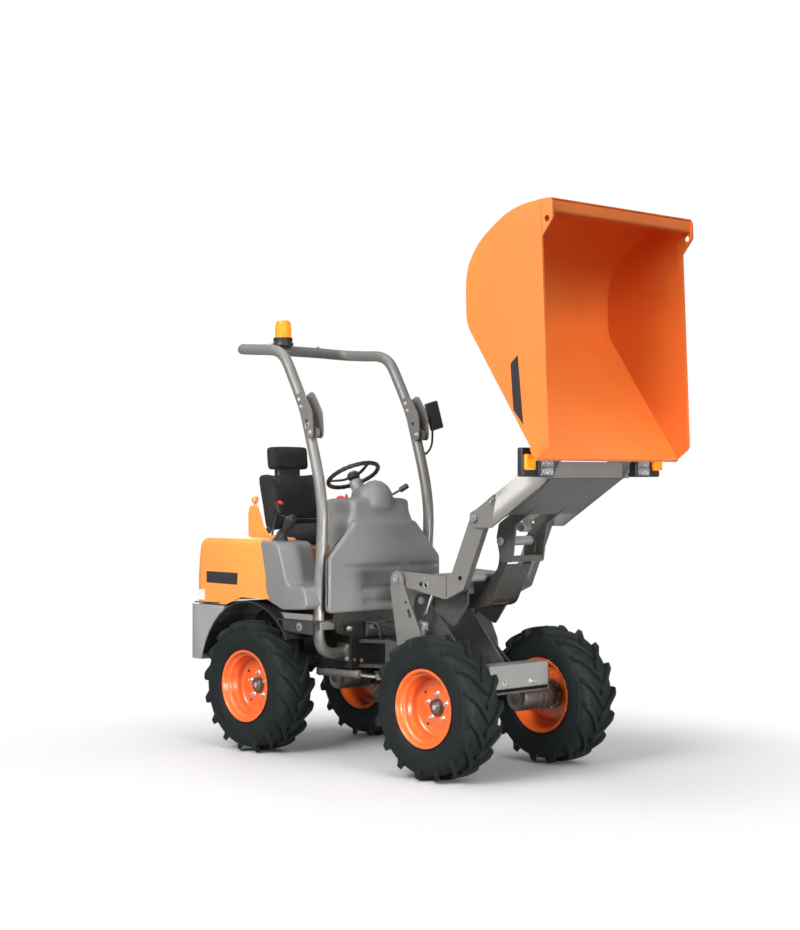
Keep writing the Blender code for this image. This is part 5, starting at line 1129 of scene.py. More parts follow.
def make_steering_wheel():
    along, across, up = square_to(WHEEL_AXIS)
    shape = Shape("hand_wheel")
    ring = []
    for c, s in circle_points(GRIP_POINTS):
        ring.append(WHEEL_HUB + (across * c + up * s) * 0.157)
    bumps = [0.0130 + 0.0008 * math.cos(i * math.pi * 2 / 4) for i in range(GRIP_POINTS)]
    shape.tube(ring, bumps, black_plastic(), 20, closed=True)
    for c, s in circle_points(3, math.pi / 2):
        out = across * c + up * s
        spoke = smooth_path([WHEEL_HUB + out * 0.020 - along * 0.010,
                             WHEEL_HUB + out * 0.070 - along * 0.014,
                             WHEEL_HUB + out * 0.120 - along * 0.006, WHEEL_HUB + out * 0.156], 4)
        shape.tube(spoke, [0.0155 - 0.0050 * i / (len(spoke) - 1) for i in range(len(spoke))],
                   black_plastic(), 16, flatten=0.55)
    shape.turned([(0.026, -0.029), (0.034, -0.024), (0.038, -0.010), (0.0375, 0.004), (0.033, 0.012),
                  (0.026, 0.015)], WHEEL_HUB, along, black_plastic(), 40)
    shape.turned([(0.0245, 0.012), (0.0250, 0.018), (0.0225, 0.0225), (0.0140, 0.0255), (0.0050, 0.0262)],
                 WHEEL_HUB, along, amber_lens(), 36)
    shape.done("steering_wheel", ("steering_wheel",))
    column = Shape("column_housing")
    foot = WHEEL_HUB - along * 0.165
    column.turned([(0.032, 0.0), (0.036, 0.010), (0.036, 0.070), (0.040, 0.085), (0.040, 0.120),
                   (0.034, 0.128)], foot, along, weight_grey(), 32)
    column.block(foot + Vector((-0.030, 0.020, 0.050)), foot + Vector((0.020, 0.062, 0.092)), weight_grey(),
                 0.006)
    column.tube(smooth_path([foot + Vector((-0.020, 0.055, 0.070)), foot + Vector((-0.030, 0.110, 0.085)),
                             foot + Vector((-0.034, 0.150, 0.100))]), 0.006, black_plastic(), 12)
    column.done("root")


def make_joystick():
    foot = Vector((-0.7400, -0.420, 1.2380))
    lean = Vector((0.56, 0.0, 0.828))
    shape = Shape("joystick_lever")
    profile = [(0.0545, -0.001)]
    for fold in range(6):
        radius = 0.0530 - 0.0062 * fold
        level = 0.003 + 0.0098 * fold
        profile += [(radius, level), (radius - 0.0012, level + 0.0034), (radius - 0.0072, level + 0.0060),
                    (radius - 0.0060, level + 0.0085)]
    shape.turned(profile, foot, Vector((0.26, 0, 0.966)), black_plastic(), 40)
    shape.rod(foot + lean * 0.045, foot + lean * 0.120, 0.0100, black_plastic(), 18)
    crook = foot + lean * 0.160 + Vector((0.010, 0, 0.002))
    tip = foot + lean * 0.172 + Vector((0.030, 0, 0.0))
    grip = smooth_path([foot + lean * 0.090, foot + lean * 0.130, crook, tip], 6)
    shares = [0.12 + 0.80 * i / (len(grip) - 1) for i in range(len(grip))]
    shape.tube(grip, [0.0165 + 0.0150 * math.sin(math.pi * share) for share in shares], black_plastic(), 24)
    shape.rod(foot + lean * 0.186, foot + lean * 0.196, 0.008, weight_grey(), 16)
    shape.done("root", ("joystick",))


def make_mirror():
    shape = Shape("side_mirror")
    turn = Matrix.Rotation(math.radians(-12), 4, "Z") @ Matrix.Rotation(math.radians(16), 4, "X")
    shape.block((-0.4343, 0.4990, 1.915), (-0.4123, 0.5940, 2.090), black_plastic(), 0.010, 4, turn)
    glass = Matrix.Translation((-0.0115, 0.0024, 0.0)) @ turn
    shape.block((-0.4248, 0.5040, 1.921), (-0.4218, 0.5890, 2.084), mirror_glass(), 0.001, 1, glass)
    stalk = smooth_path([(-0.4413, 0.466, 1.758), (-0.4313, 0.500, 1.778), (-0.4233, 0.528, 1.830),
                         (-0.4203, 0.532, 1.940)], 8)
    shape.tube(stalk, 0.0068, black_plastic(), 14)
    shape.turned([(0.012, 0.0), (0.015, 0.004), (0.015, 0.020), (0.012, 0.024)], (-0.4203, 0.532, 1.935),
                 Z_AXIS, black_plastic(), 20)
    shape.block((-0.4613, 0.4627, 1.737), (-0.4273, 0.4767, 1.783), black_plastic(), 0.004)
    for level in (1.748, 1.772):
        shape.bolt((-0.4443, 0.4767, level), Y_AXIS, 0.005, zinc_bolt(), washer=False)
    shape.done("root", ("mirror",))


# Lift gear

LIFT_PIN = Vector((0.1257, 0.0, 1.050))
LINK_PIN = Vector((0.1707, 0.0, 0.924))
TOP_PIN = Vector((0.7366, 0.0, 1.400))
EAR_PIN = Vector((0.7816, 0.0, 1.274))
SKIP_PIN = Vector((1.3166, 0.0, 1.750))
ARM_FACE = 0.277
OUTER_FACE = 0.297


def pin_head(shape, place, out, radius=0.025):
    """A pin's greased head with its keeper plate and bolt."""
    shape.turned([(radius, 0.0), (radius, 0.003), (radius - 0.0025, 0.0055), (radius * 0.55, 0.006),
                  (radius * 0.50, 0.0045), (radius * 0.30, 0.004)], place, out, plate_grey(), 32)
    shape.turned([(0.0035, 0.004), (0.0035, 0.009), (0.0020, 0.011)], place, out, zinc_bolt(), 12)


def make_arm_fittings():
    shape = Shape("lift_arm_fittings")
    for side in (-1, 1):
        out = Y_AXIS * side
        outer = Vector((0, side * 0.3092, 0))
        pin_head(shape, LIFT_PIN + outer, out)
        pin_head(shape, TOP_PIN + outer, out, 0.022)
        face = Vector((0, side * ARM_FACE, 0))
        for x, z in ((0.300, 1.027), (0.341, 1.020)):
            shape.turned([(0.0125, 0.0), (0.0125, 0.0015), (0.0100, 0.0022)], Vector((x, 0, z)) + face, out,
                         shadow_black(), 24)
        shape.turned([(0.0215, 0.0), (0.0215, 0.004), (0.0190, 0.006), (0.0130, 0.006), (0.0125, 0.0022)],
                     Vector((0.341, 0, 1.020)) + face, out, plate_grey(), 28)
        shape.rod(Vector((0.330, 0, 1.062)) + face, Vector((0.330, 0, 1.062)) + face + out * 0.002, 0.003,
                  zinc_bolt(), 12)
        # A dark line along the seam between the arm's plates: painted shade.
        seam_shade_line = [Vector((0.500, 0, 0.962)) + face, Vector((0.500, 0, 1.072)) + face]
        shape.tube(seam_shade_line, 0.0017, shadow_black(), 8)
        shape.welds([Vector((0.226, side * 0.2385, 1.0745)), Vector((0.560, side * 0.2385, 1.0745))], 0.003,
                    plate_grey())
    shape.block((0.203, -0.2385, 1.0722), (0.568, 0.2385, 1.0742), plate_grey(), 0.0008, 1)
    for x in (0.225, 0.548):
        for y in (-0.205, 0.205):
            shape.bolt((x, y, 1.0742), Z_AXIS, 0.008, zinc_bolt())
    shape.turned([(0.0245, -0.2345), (0.0245, -0.2200), (0.0228, -0.2190), (0.0228, 0.2190),
                  (0.0245, 0.2200), (0.0245, 0.2345)], (0.6037, 0, 1.071), Y_AXIS, plate_grey(), 36)
    shape.done("lift_arms")


def make_tip_frame_fittings():
    shape = Shape("tip_frame_fittings")
    for side in (-1, 1):
        out = Y_AXIS * side
        face = Vector((0, side * OUTER_FACE, 0))
        stop = Vector((0.870, side * 0.291, 1.505))
        shape.block(stop + Vector((-0.020, -0.014, 0.002)), stop + Vector((0.020, 0.014, 0.016)),
                    black_plastic(), 0.004, turn=Matrix.Rotation(math.radians(-31), 4, "Y"))
        shape.bolt(Vector((0.862, 0, 1.487)) + face + out * 0.010, out, 0.008, zinc_bolt(), washer=False)
        shape.turned([(0.021, 0.0), (0.021, 0.003), (0.017, 0.005), (0.012, 0.005)], SKIP_PIN + face, out,
                     plate_grey(), 28)
        shape.bolt(SKIP_PIN + face + out * 0.0045, out, 0.009, zinc_bolt(), washer=False)
        shape.turned([(0.0225, 0.0), (0.0235, 0.001), (0.0235, 0.0030), (0.0170, 0.0038)],
                     EAR_PIN + Vector((0, side * 0.1435, 0)), out, zinc_bolt(), 28)
        shape.welds([Vector((0.962, side * 0.2840, 1.4335)), Vector((1.270, side * 0.2840, 1.6190))], 0.003,
                    frame_grey())
    shape.rod(EAR_PIN + Y_AXIS * -0.1165, EAR_PIN + Y_AXIS * 0.1165, 0.0255, plate_grey(), 32, 0.002)
    shape.block((1.2792, -0.3375, 1.6170), (1.2812, 0.3375, 1.7010), plate_grey(), 0.0008, 1)
    for y in (-0.312, 0.312):
        for z in (1.635, 1.684):
            shape.bolt((1.2812, y, z), X_AXIS, 0.006, zinc_bolt())
    loom = [(1.270, -0.300, 1.610), (1.150, -0.262, 1.540), (1.000, -0.262, 1.450), (0.880, -0.255, 1.395)]
    shape.tube(smooth_path(loom), 0.005, hose_rubber(), 12)
    shape.done("lift_frame")


def make_link_fittings():
    shape = Shape("lift_link_fittings")
    for place in (LINK_PIN, EAR_PIN):
        shape.turned([(0.0165, -0.103), (0.026, -0.102), (0.026, -0.090), (0.0245, -0.089)], place, Y_AXIS,
                     plate_grey(), 32)
        shape.turned([(0.0245, 0.089), (0.026, 0.090), (0.026, 0.102), (0.0165, 0.103)], place, Y_AXIS,
                     plate_grey(), 32)
        for side in (-1, 1):
            shape.turned([(0.0170, 0.0), (0.0195, 0.001), (0.0195, 0.0035), (0.0120, 0.0045)],
                         place + Vector((0, side * 0.1498, 0)), Y_AXIS * side, zinc_bolt(), 24)
    for side in (-1, 1):
        shape.welds([(0.262, side * 0.1062, 0.888), (0.455, side * 0.1062, 0.884),
                     (0.620, side * 0.1062, 0.925)], 0.0028, chassis_dark())
    shape.done("lift_link")


def make_cylinder(name, base, eye, barrel_length, radius, base_half, eye_half, axis):
    """A barrel with its gland, ports and hose tails, and a rod with its eye."""
    base, eye, axis = Vector(base), Vector(eye), Vector(axis)
    along = (eye - base).normalized()
    side = axis.cross(along)
    barrel = Shape(name + "_ram_barrel")
    barrel.turned([(radius * 0.75, 0.010), (radius, 0.022), (radius, barrel_length - 0.046),
                   (radius + 0.0028, barrel_length - 0.044), (radius + 0.0028, barrel_length - 0.006),
                   (radius + 0.0010, barrel_length - 0.003), (radius * 0.70, barrel_length),
                   (0.0150, barrel_length), (0.0150, barrel_length + 0.002),
                   (0.0132, barrel_length + 0.002)], base, along, frame_grey(), 36)
    barrel.turned([(0.0178, -base_half), (0.0262, -base_half), (0.0270, -base_half + 0.001),
                   (0.0270, base_half - 0.001), (0.0262, base_half), (0.0178, base_half)], base, axis,
                  frame_grey(), 32, closed=True)
    for reach in (0.058, barrel_length - 0.030):
        port = base + along * reach + side * (radius - 0.002)
        barrel.rod(port, port + side * 0.011, 0.0088, frame_grey(), 18)
        barrel.turned([(0.0080, 0.010), (0.0080, 0.018), (0.0060, 0.020)], port, side, zinc_bolt(), 6)
    barrel.done(name_body(name, "barrel"), (name + "_barrel",))
    shaft = Shape(name + "_ram_rod")
    inner = min((vertex.co - base).dot(along) for vertex in NODES[name + "_rod"].data.vertices)
    shaft.rod(base + along * inner, eye - along * 0.012, 0.0124, chrome_rod(), 32, 0.001)
    shaft.turned([(0.0178, -eye_half), (0.0222, -eye_half), (0.0230, -eye_half + 0.001),
                  (0.0230, eye_half - 0.001), (0.0222, eye_half), (0.0178, eye_half)], eye, axis,
                 frame_grey(), 32)
    shaft.turned([(0.0135, -0.028), (0.0150, -0.026), (0.0150, -0.018)], eye, along, frame_grey(), 24)
    shaft.done(name_body(name, "rod"), (name + "_rod",))


def name_body(name, part):
    """The body of a cylinder's part: lift_left gives lift_barrel_left."""
    kind, _, side = name.partition("_")
    return f"{kind}_{part}_{side}" if side else f"{kind}_{part}"


def make_cylinders():
    for side, word in SIDES:
        make_cylinder("lift_" + word, (0.1137, side * 0.202, 0.500), (0.3417, side * 0.202, 1.020), 0.340,
                      0.026, 0.009, 0.018, Y_AXIS)
    make_cylinder("tip", (0.8266, 0, 1.350), (1.2252, 0, 1.9268), 0.400, 0.026, 0.030, 0.026, Y_AXIS)
    make_cylinder("steer", (-0.5833, -0.240, 0.475), (-0.1133, -0.200, 0.475), 0.320, 0.022, 0.018, 0.018,
                  Z_AXIS)


# Skip

MOUTH_TURN = math.radians(92.2)
SKIP_LIP = (1.4306, 1.716)
SKIP_FACE = 0.575
MOUTH = 1.294
WALL_FRONT = -0.081
FLOOR_TURN = math.atan2(0.480, 0.692)
SKIP_BEND = [(0.610, 0.3872), (0.660, 0.4190), (0.705, 0.4440), (0.760, 0.4570), (0.860, 0.4570),
             (0.958, 0.4505), (1.044, 0.4220), (1.134, 0.3530), (1.213, 0.2430), (1.267, 0.1355),
             (1.292, 0.0300), (1.297, -0.0620)]


def skip_place(u, v, y=0.0):
    """A place up the skip's mouth from its lip, back from it, and across."""
    cos, sin = math.cos(MOUTH_TURN), math.sin(MOUTH_TURN)
    return Vector((SKIP_LIP[0] + u * cos - v * sin, y, SKIP_LIP[1] + u * sin + v * cos))


def skip_line(inset):
    """The skip's section (u, v) from its lip over the floor, back and roof to the rim, moved in by inset."""
    curve = smooth_path([(u, v, 0) for u, v in SKIP_BEND], 5)
    line = [Vector((0, 0, 0)), *curve]
    moved = []
    for index, point in enumerate(line):
        along = (line[min(index + 1, len(line) - 1)] - line[max(index - 1, 0)]).normalized()
        moved.append((point.x + along.y * inset, point.y - along.x * inset))
    return moved


def skip_outline(points):
    return [(place.x, place.z) for place in (skip_place(u, v) for u, v in points)]


def skip_floor(along, out):
    """A place up the sloping floor from the lip, and out from its inner face."""
    cos, sin = math.cos(FLOOR_TURN), math.sin(FLOOR_TURN)
    return (along * cos - out * sin, along * sin + out * cos)


def on_floor(along):
    """An outline corner up the floor, just behind its inner face."""
    return (*skip_outline([skip_floor(along, -0.002)])[0], 0)


def make_skip():
    """The skip's swept sheet, side walls, rim tube, lip, lifting eyes and hinge ears."""
    shape = Shape("tipping_skip")
    paint = skip_orange()
    section = skip_line(0.0) + skip_line(0.005)[::-1]
    shape.slab(skip_outline(section), side_view(0.0), 2 * SKIP_FACE - 0.008, paint, 0)
    wall = skip_line(0.0) + [(MOUTH, WALL_FRONT), (0.054, WALL_FRONT)]
    tube = rounded([(MOUTH - 0.066, WALL_FRONT - 0.066, 0.014), (MOUTH + 0.003, WALL_FRONT - 0.066, 0.014),
                    (MOUTH + 0.003, WALL_FRONT + 0.010, 0.014), (MOUTH - 0.066, WALL_FRONT + 0.010, 0.014)])
    shape.slab(skip_outline(tube), side_view(0.0), 2 * SKIP_FACE - 0.006, paint, 0)
    lip = [skip_floor(-0.006, -0.007), skip_floor(0.070, -0.006), skip_floor(0.060, 0.012),
           skip_floor(-0.006, 0.012)]
    shape.slab(skip_outline(lip), side_view(0.0), 2 * SKIP_FACE - 0.004, paint, 0.004)
    hinge, eye = (SKIP_PIN.x, SKIP_PIN.z), (1.2252, 1.9268)
    ear = [on_floor(0.090), on_floor(0.390),
           (hinge[0] - 0.045, hinge[1] + 0.10, 0.03), (hinge[0] - 0.030, hinge[1] - 0.030, 0.028),
           (hinge[0] + 0.030, hinge[1] - 0.030, 0.028)]
    lug = [on_floor(0.200), on_floor(0.430),
           (eye[0] - 0.032, eye[1] - 0.006, 0.028), (eye[0] - 0.004, eye[1] - 0.036, 0.028)]
    eye_plate = [(MOUTH + 0.006, WALL_FRONT + 0.030, 0), (MOUTH + 0.006, WALL_FRONT - 0.078, 0.025),
                 (MOUTH - 0.100, WALL_FRONT - 0.078, 0.025), (MOUTH - 0.190, WALL_FRONT + 0.002, 0),
                 (MOUTH - 0.190, WALL_FRONT + 0.030, 0)]
    eye_hole = skip_outline([(MOUTH - 0.098, WALL_FRONT - 0.040)])[0]
    for side in (-1, 1):
        shape.slab(skip_outline(wall), side_view(side * (SKIP_FACE - 0.0025)), 0.005, paint, 0.001)
        fold = [(0.062, WALL_FRONT - 0.004), (0.062, WALL_FRONT + 0.024),
                (MOUTH - 0.012, WALL_FRONT + 0.024), (MOUTH - 0.012, WALL_FRONT - 0.004)]
        shape.slab(skip_outline(fold), side_view(side * (SKIP_FACE - 0.0025)), 0.0135, paint, 0.004)
        shape.slab(rounded(ear), side_view(side * 0.274), 0.012, paint, 0.0015)
        shape.slab(rounded(lug), side_view(side * 0.036), 0.012, paint, 0.0015)
        holed(shape, skip_outline(rounded(eye_plate)), eye_hole, 0.0165,
              side_view(side * (SKIP_FACE - 0.005)), 0.012, paint)
    shape.done("skip", ("skip",))


def holed(shape, outline, hole, radius, place, thickness, material, count=48):
    """A plate with a round hole through it."""
    rim, edge = [], []
    for c, s in circle_points(count):
        best = None
        for start, end in zip(outline, [*outline[1:], outline[0]]):
            across = Vector((end[0] - start[0], end[1] - start[1]))
            away = Vector((start[0] - hole[0], start[1] - hole[1]))
            turn = c * across.y - s * across.x
            if abs(turn) < 1e-9:
                continue
            reach = (away.x * across.y - away.y * across.x) / turn
            along = (away.x * s - away.y * c) / turn
            if reach > 0 and -1e-6 <= along <= 1 + 1e-6 and (best is None or reach < best):
                best = reach
        edge.append((hole[0] + c * best, hole[1] + s * best))
        rim.append((hole[0] + c * radius, hole[1] + s * radius))
    half = thickness / 2
    rings = [(rim, -half), (edge, -half), (edge, half), (rim, half)]
    shape.loft([[place(u, v, w) for u, v in ring] for ring, w in rings], material, closed=True)


def make_skip_trim():
    shape = Shape("skip_trim")
    for side in (-1, 1):
        film_patch(shape, [(1.306, 2.242), (1.256, 2.198), (1.276, 1.963), (1.344, 1.885)], side,
                   SKIP_FACE + 0.0005, black_film())
        inner = side * (SKIP_FACE - 0.006)
        shape.welds([skip_place(0.010, 0.0, inner), skip_place(0.300, 0.190, inner),
                     skip_place(0.600, 0.381, inner)], 0.0034, skip_orange())
        shape.welds([skip_place(0.100, WALL_FRONT - 0.003, side * (SKIP_FACE + 0.0042)),
                     skip_place(0.020, WALL_FRONT + 0.070, side * (SKIP_FACE - 0.001))], 0.003,
                    skip_orange())
    for v in (WALL_FRONT - 0.0665, WALL_FRONT + 0.006):
        shape.tube([skip_place(MOUTH + 0.0015, v, -0.570), skip_place(MOUTH + 0.0015, v, 0.570)], 0.0045,
                   skip_orange(), 12)
    shape.tube([skip_place(0.002, 0.006, -0.571), skip_place(0.002, 0.006, 0.571)], 0.0062, skip_orange(),
               14)
    shape.done("skip")


# Lamps

def make_lamps():
    for side, word in SIDES:
        out = side
        lamp = Shape("work_lamp_" + word)
        inner, step, outer = 0.333, 0.453, 0.559
        low, high = 1.622, 1.722
        middle = (low + high) / 2

        def span(a, b):
            return tuple(sorted((out * a, out * b)))

        y0, y1 = span(inner, step)
        lamp.block((1.2812, y0, low), (1.3360, y1, high), black_plastic(), 0.008, 4)
        lamp.block((1.3300, y0 + 0.004, low + 0.003), (1.3410, y1 - 0.004, low + 0.008), black_plastic(),
                   0.002)
        y2, y3 = span(step - 0.004, outer)
        lamp.block((1.2830, y2, low + 0.001), (1.3228, y3, high + 0.050), black_plastic(), 0.010, 4)
        y4, y5 = span(0.311, inner + 0.008)
        lamp.block((1.2812, y4, low + 0.022), (1.2905, y5, 1.700), plate_grey(), 0.002)
        for z0, z1 in ((low + 0.009, middle - 0.002), (middle + 0.002, high - 0.009)):
            p0, p1 = span(inner + 0.010, step - 0.012)
            centre = Vector((1.3340, (p0 + p1) / 2, (z0 + z1) / 2))
            lamp.block((1.3352, p0, z0), (1.3372, p1, z1), lamp_reflector(), 0.0008, 1)
            for lobe in (-0.024, 0.024):
                lamp.turned([(0.0160, 0.0), (0.0150, 0.0025), (0.0105, 0.0012), (0.0050, 0.0035)],
                            centre + Vector((0.003, lobe, 0)), X_AXIS, lamp_reflector(), 28)
            lamp.block((1.3392, p0, z0), (1.3452, p1, z1), clear_lens(), 0.0022, 3)
            for edge0, edge1 in (((p0 - 0.003, z0 - 0.003), (p1 + 0.003, z0 + 0.001)),
                                 ((p0 - 0.003, z1 - 0.001), (p1 + 0.003, z1 + 0.003)),
                                 ((p0 - 0.003, z0), (p0 + 0.001, z1)),
                                 ((p1 - 0.001, z0), (p1 + 0.003, z1))):
                lamp.block((1.3350, edge0[0], edge0[1]), (1.3440, edge1[0], edge1[1]), black_plastic(),
                           0.0012, 2)
        lamp.done("lift_frame", ("lamp_" + word,))
        flasher = Shape("flasher_" + word)
        f0, f1 = span(0.483, 0.553)
        flasher.block((1.3232, f0, 1.6575), (1.3470, f1, 1.7385), amber_lens(), 0.0075, 4)
        for row in range(9):
            z = 1.6645 + row * 0.0084
            flasher.block((1.3440, f0 + 0.006, z), (1.3492, f1 - 0.006, z + 0.0046), amber_lens(), 0.0018,
                          2)
        for z in (1.6620, 1.7340):
            flasher.bolt((1.3466, out * 0.518, z), X_AXIS, 0.0032, zinc_bolt(), washer=False)
        flasher.done("lift_frame", ("indicator_" + word,))


# Chassis

def make_front_chassis_fittings():
    shape = Shape("front_chassis_fittings")
    shape.block((0.7842, -0.2355, 0.4710), (0.7872, 0.2355, 0.5990), plate_grey(), 0.001, 1)
    shape.block((0.6880, -0.2355, 0.5990), (0.7865, 0.2355, 0.6016), plate_grey(), 0.001, 1)
    for y in (-0.114, 0.096):
        shape.rod((0.786, y, 0.500), (0.806, y, 0.500), 0.0075, zinc_bolt(), 20)
        shape.bolt((0.787, y, 0.500), X_AXIS, 0.0135, zinc_bolt())
        shape.rod((0.797, y, 0.500), (0.824, y, 0.500), 0.0062, zinc_bolt(), 16)
    for side in (-1, 1):
        out = Y_AXIS * side
        for x, z in ((0.205, 0.535), (0.300, 0.535), (0.205, 0.590), (0.300, 0.590)):
            shape.bolt((x, side * 0.2972, z), out, 0.0100, zinc_bolt())
        shape.turned([(0.034, 0.0), (0.034, 0.0015), (0.020, 0.0020)], (0.1257, side * 0.2975, 1.050), out,
                     plate_grey(), 36)
        shape.turned([(0.023, 0.0), (0.023, 0.004), (0.018, 0.006)], (0.1707, side * 0.1432, 0.924), out,
                     plate_grey(), 30)
        shape.welds([(0.120, side * 0.2470, 0.5950), (0.120, side * 0.2470, 0.4600)], 0.003, chassis_dark())
        hose = [(0.020, side * 0.150, 0.640), (0.045, side * 0.158, 0.740), (0.080, side * 0.160, 0.770),
                (0.108, side * 0.160, 0.700), (0.112, side * 0.160, 0.600)]
        shape.tube(smooth_path(hose), 0.0075, hose_rubber(), 14)
    shape.done("front_chassis")


def make_rear_chassis_fittings():
    shape = Shape("rear_chassis_fittings")
    for side in (-1, 1):
        out = Y_AXIS * side
        strip = [(-0.575, 0.8385), (-0.300, 0.8385), (-0.300, 0.8045), (-0.540, 0.8045)]
        shape.slab(strip, side_view(side * 0.5535), 0.006, plate_grey(), 0.001)
        plate = [(-0.575, 0.7990), (-0.300, 0.7990), (-0.300, 0.720), (-0.560, 0.735)]
        shape.slab(plate, side_view(side * 0.5465), 0.006, chassis_dark(), 0.001)
        shape.bolt((-0.420, side * 0.5495, 0.762), out, 0.0125, dark_steel())
        shape.turned([(0.024, 0.0), (0.024, 0.002), (0.015, 0.003)], (-0.420, side * 0.5493, 0.762), out,
                     plate_grey(), 28)
        for x in (-0.640, -0.560, -0.300, -0.240):
            shape.bolt((x, side * 0.2275, 0.560), out, 0.0095, dark_steel())
        shape.tube(smooth_path([(-0.300, side * 0.150, 0.780), (-0.210, side * 0.130, 0.765),
                                (-0.195, side * 0.120, 0.700), (-0.215, side * 0.100, 0.690)]), 0.009,
                   hose_rubber(), 14)
    for y in (-0.28, -0.10, 0.08):
        shape.turned([(0.016, 0.0), (0.016, 0.012), (0.012, 0.014), (0.012, 0.026), (0.009, 0.028)],
                     (-0.3000, y, 0.745), X_AXIS, zinc_bolt(), 6)
    shape.block((-0.322, -0.130, 0.690), (-0.300, 0.020, 0.780), dark_steel(), 0.004)
    shape.turned([(0.030, 0.0), (0.034, 0.003), (0.034, 0.008), (0.026, 0.011), (0.010, 0.012)],
                 (-0.1333, 0, 0.6872), Z_AXIS, dark_steel(), 36)
    shape.bolt((-0.1333, 0, 0.6988), Z_AXIS, 0.012, zinc_bolt())
    shape.done("root")


def make_hoses():
    """Hydraulic hoses over the steering hinge."""
    for number, y in enumerate((-0.085, -0.045, 0.045, 0.085)):
        shape = Shape(f"hinge_hose_{number}")
        rise = 0.030 * (1 - abs(y) / 0.2)
        path = smooth_path([(-0.310, y * 1.2, 0.742), (-0.230, y, 0.738 + rise), (-0.130, y, 0.735 + rise),
                            (-0.060, y, 0.725 + rise), (-0.016, y, 0.680)], 10)
        shape.tube(path, 0.0085, hose_rubber(), 14)
        mesh = shape.as_mesh()
        mesh.shade_smooth()
        piece = add_object(shape.name, mesh)
        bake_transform(piece)


RING_START = 0.300  # from the machine's middle to a motor's first ring


def make_motors():
    """The hydraulic wheel motors, with their rings, bolts and hubs."""
    for (end, axle_x), body in zip(WHEELS, ("front_chassis", "root")):
        low = RING_START
        shape = Shape("wheel_motors_" + end)
        for side in (-1, 1):
            out = Y_AXIS * side
            centre = Vector((axle_x, 0, TYRE_RADIUS))
            shape.turned([(0.030, 0.155), (0.034, 0.153), (0.064, 0.156), (0.073, 0.163), (0.0755, 0.172),
                          (0.0755, 0.386), (0.066, 0.389), (0.066, 0.436), (0.0875, 0.440),
                          (0.0875, 0.4485), (0.060, 0.4500)], centre, out, dark_steel(), 48)
            shape.turned([(0.0755, low - 0.016), (0.0790, low - 0.014), (0.0790, low),
                          (0.0765, low + 0.002), (0.0765, low + 0.030), (0.0800, low + 0.032),
                          (0.0800, low + 0.044), (0.0765, low + 0.046), (0.0765, low + 0.070),
                          (0.0830, low + 0.072), (0.0830, low + 0.086), (0.0755, low + 0.088)], centre, out,
                         dark_steel(), 48, closed=True)
            for c, s in circle_points(10, 0.2):
                place = centre + out * (low + 0.0875) + Vector((c * 0.0780, 0, s * 0.0780))
                shape.bolt(place, -out, 0.0050, zinc_bolt(), washer=False)
            for c, s in circle_points(9, 0.1):
                place = centre + out * 0.4405 + Vector((c * 0.0790, 0, s * 0.0790))
                shape.bolt(place, -out, 0.0058, zinc_bolt(), washer=False)
        shape.done(body, (end + "_axle",))


# Settings

class DumperLook(bpy.types.PropertyGroup):
    """Colours that a user would change."""
    body_colour: FloatVectorProperty(name="Body", description="Hood, seat base and bracket paint",
                                     subtype="COLOR", default=(0.87, 0.30, 0.055))
    # The skip's default is the body orange made redder and darker: painted shade.
    skip_colour: FloatVectorProperty(name="Skip", description="Skip paint, inside and out", subtype="COLOR",
                                     default=(0.87, 0.195, 0.028))
    rim_colour: FloatVectorProperty(name="Rims", description="Wheel paint", subtype="COLOR",
                                    default=(0.82, 0.13, 0.018))
    frame_colour: FloatVectorProperty(name="Frame", description="Lift arms and roll bar paint",
                                      subtype="COLOR", default=(0.185, 0.178, 0.168))
    chassis_colour: FloatVectorProperty(name="Chassis", description="Chassis paint", subtype="COLOR",
                                        default=(0.034, 0.031, 0.028))
    plastic_colour: FloatVectorProperty(name="Cowl", description="Moulded cowl and side panels",
                                        subtype="COLOR", default=(0.175, 0.173, 0.172))
    tyre_colour: FloatVectorProperty(name="Tyres", description="Tyre rubber", subtype="COLOR",
                                     default=(0.0040, 0.0062, 0.0066))
    amber_colour: FloatVectorProperty(name="Amber", description="Beacon and indicators", subtype="COLOR",
                                      default=(0.95, 0.33, 0.01))


def look():
    return bpy.context.scene.dumper_look


# Stage

CAMERA_PLACE = Vector((7.5781, -7.4201, 1.6069))
CAMERA_TURN = (math.radians(91.248), 0.0, math.radians(46.188))
CAMERA_LENS = 70.77
CAMERA_SHIFT = -0.0268  # the photograph's centre line lies a little above its middle
LIGHT_FROM_ABOVE = 0.45
LIGHT_FROM_BELOW = 0.10
# Name, place, target, size, watts, spread in degrees
LAMPS = (
    ("key", (0.9, -7.2, 5.0), (0.0, 0.0, 1.2), (5.0, 3.4), 860.0, 180.0),
    ("sky", (-0.8, -0.8, 7.5), (0.0, 0.0, 0.5), (5.0, 5.0), 150.0, 180.0),
    ("front", (6.4, -0.6, 5.6), (0.3, 0.0, 1.0), (3.0, 2.4), 150.0, 180.0),
    ("low_front", (7.2, -1.6, 0.9), (0.0, 0.0, 0.75), (3.0, 1.0), 36.0, 34.0),
    ("back", (-6.5, 2.5, 3.4), (-0.5, 0.0, 1.2), (3.0, 2.4), 130.0, 180.0),
)
LIGHT_TURN = (-0.35, 0.7)  # height of the looking direction, from the light below to the light above
FLOOR_FADE = (1.2, 2.9)  # metres from the machine's middle, from floor to plain white


def area_lamp(name, place, target, size, power, spread):
    lamp = bpy.data.lights.new(name, "AREA")
    lamp.shape = "RECTANGLE"
    lamp.size, lamp.size_y = size
    lamp.energy = power
    lamp.spread = math.radians(spread)
    item = add_object(name, lamp)
    item.location = place
    item.rotation_euler = (Vector(target) - Vector(place)).to_track_quat("-Z", "Y").to_euler()


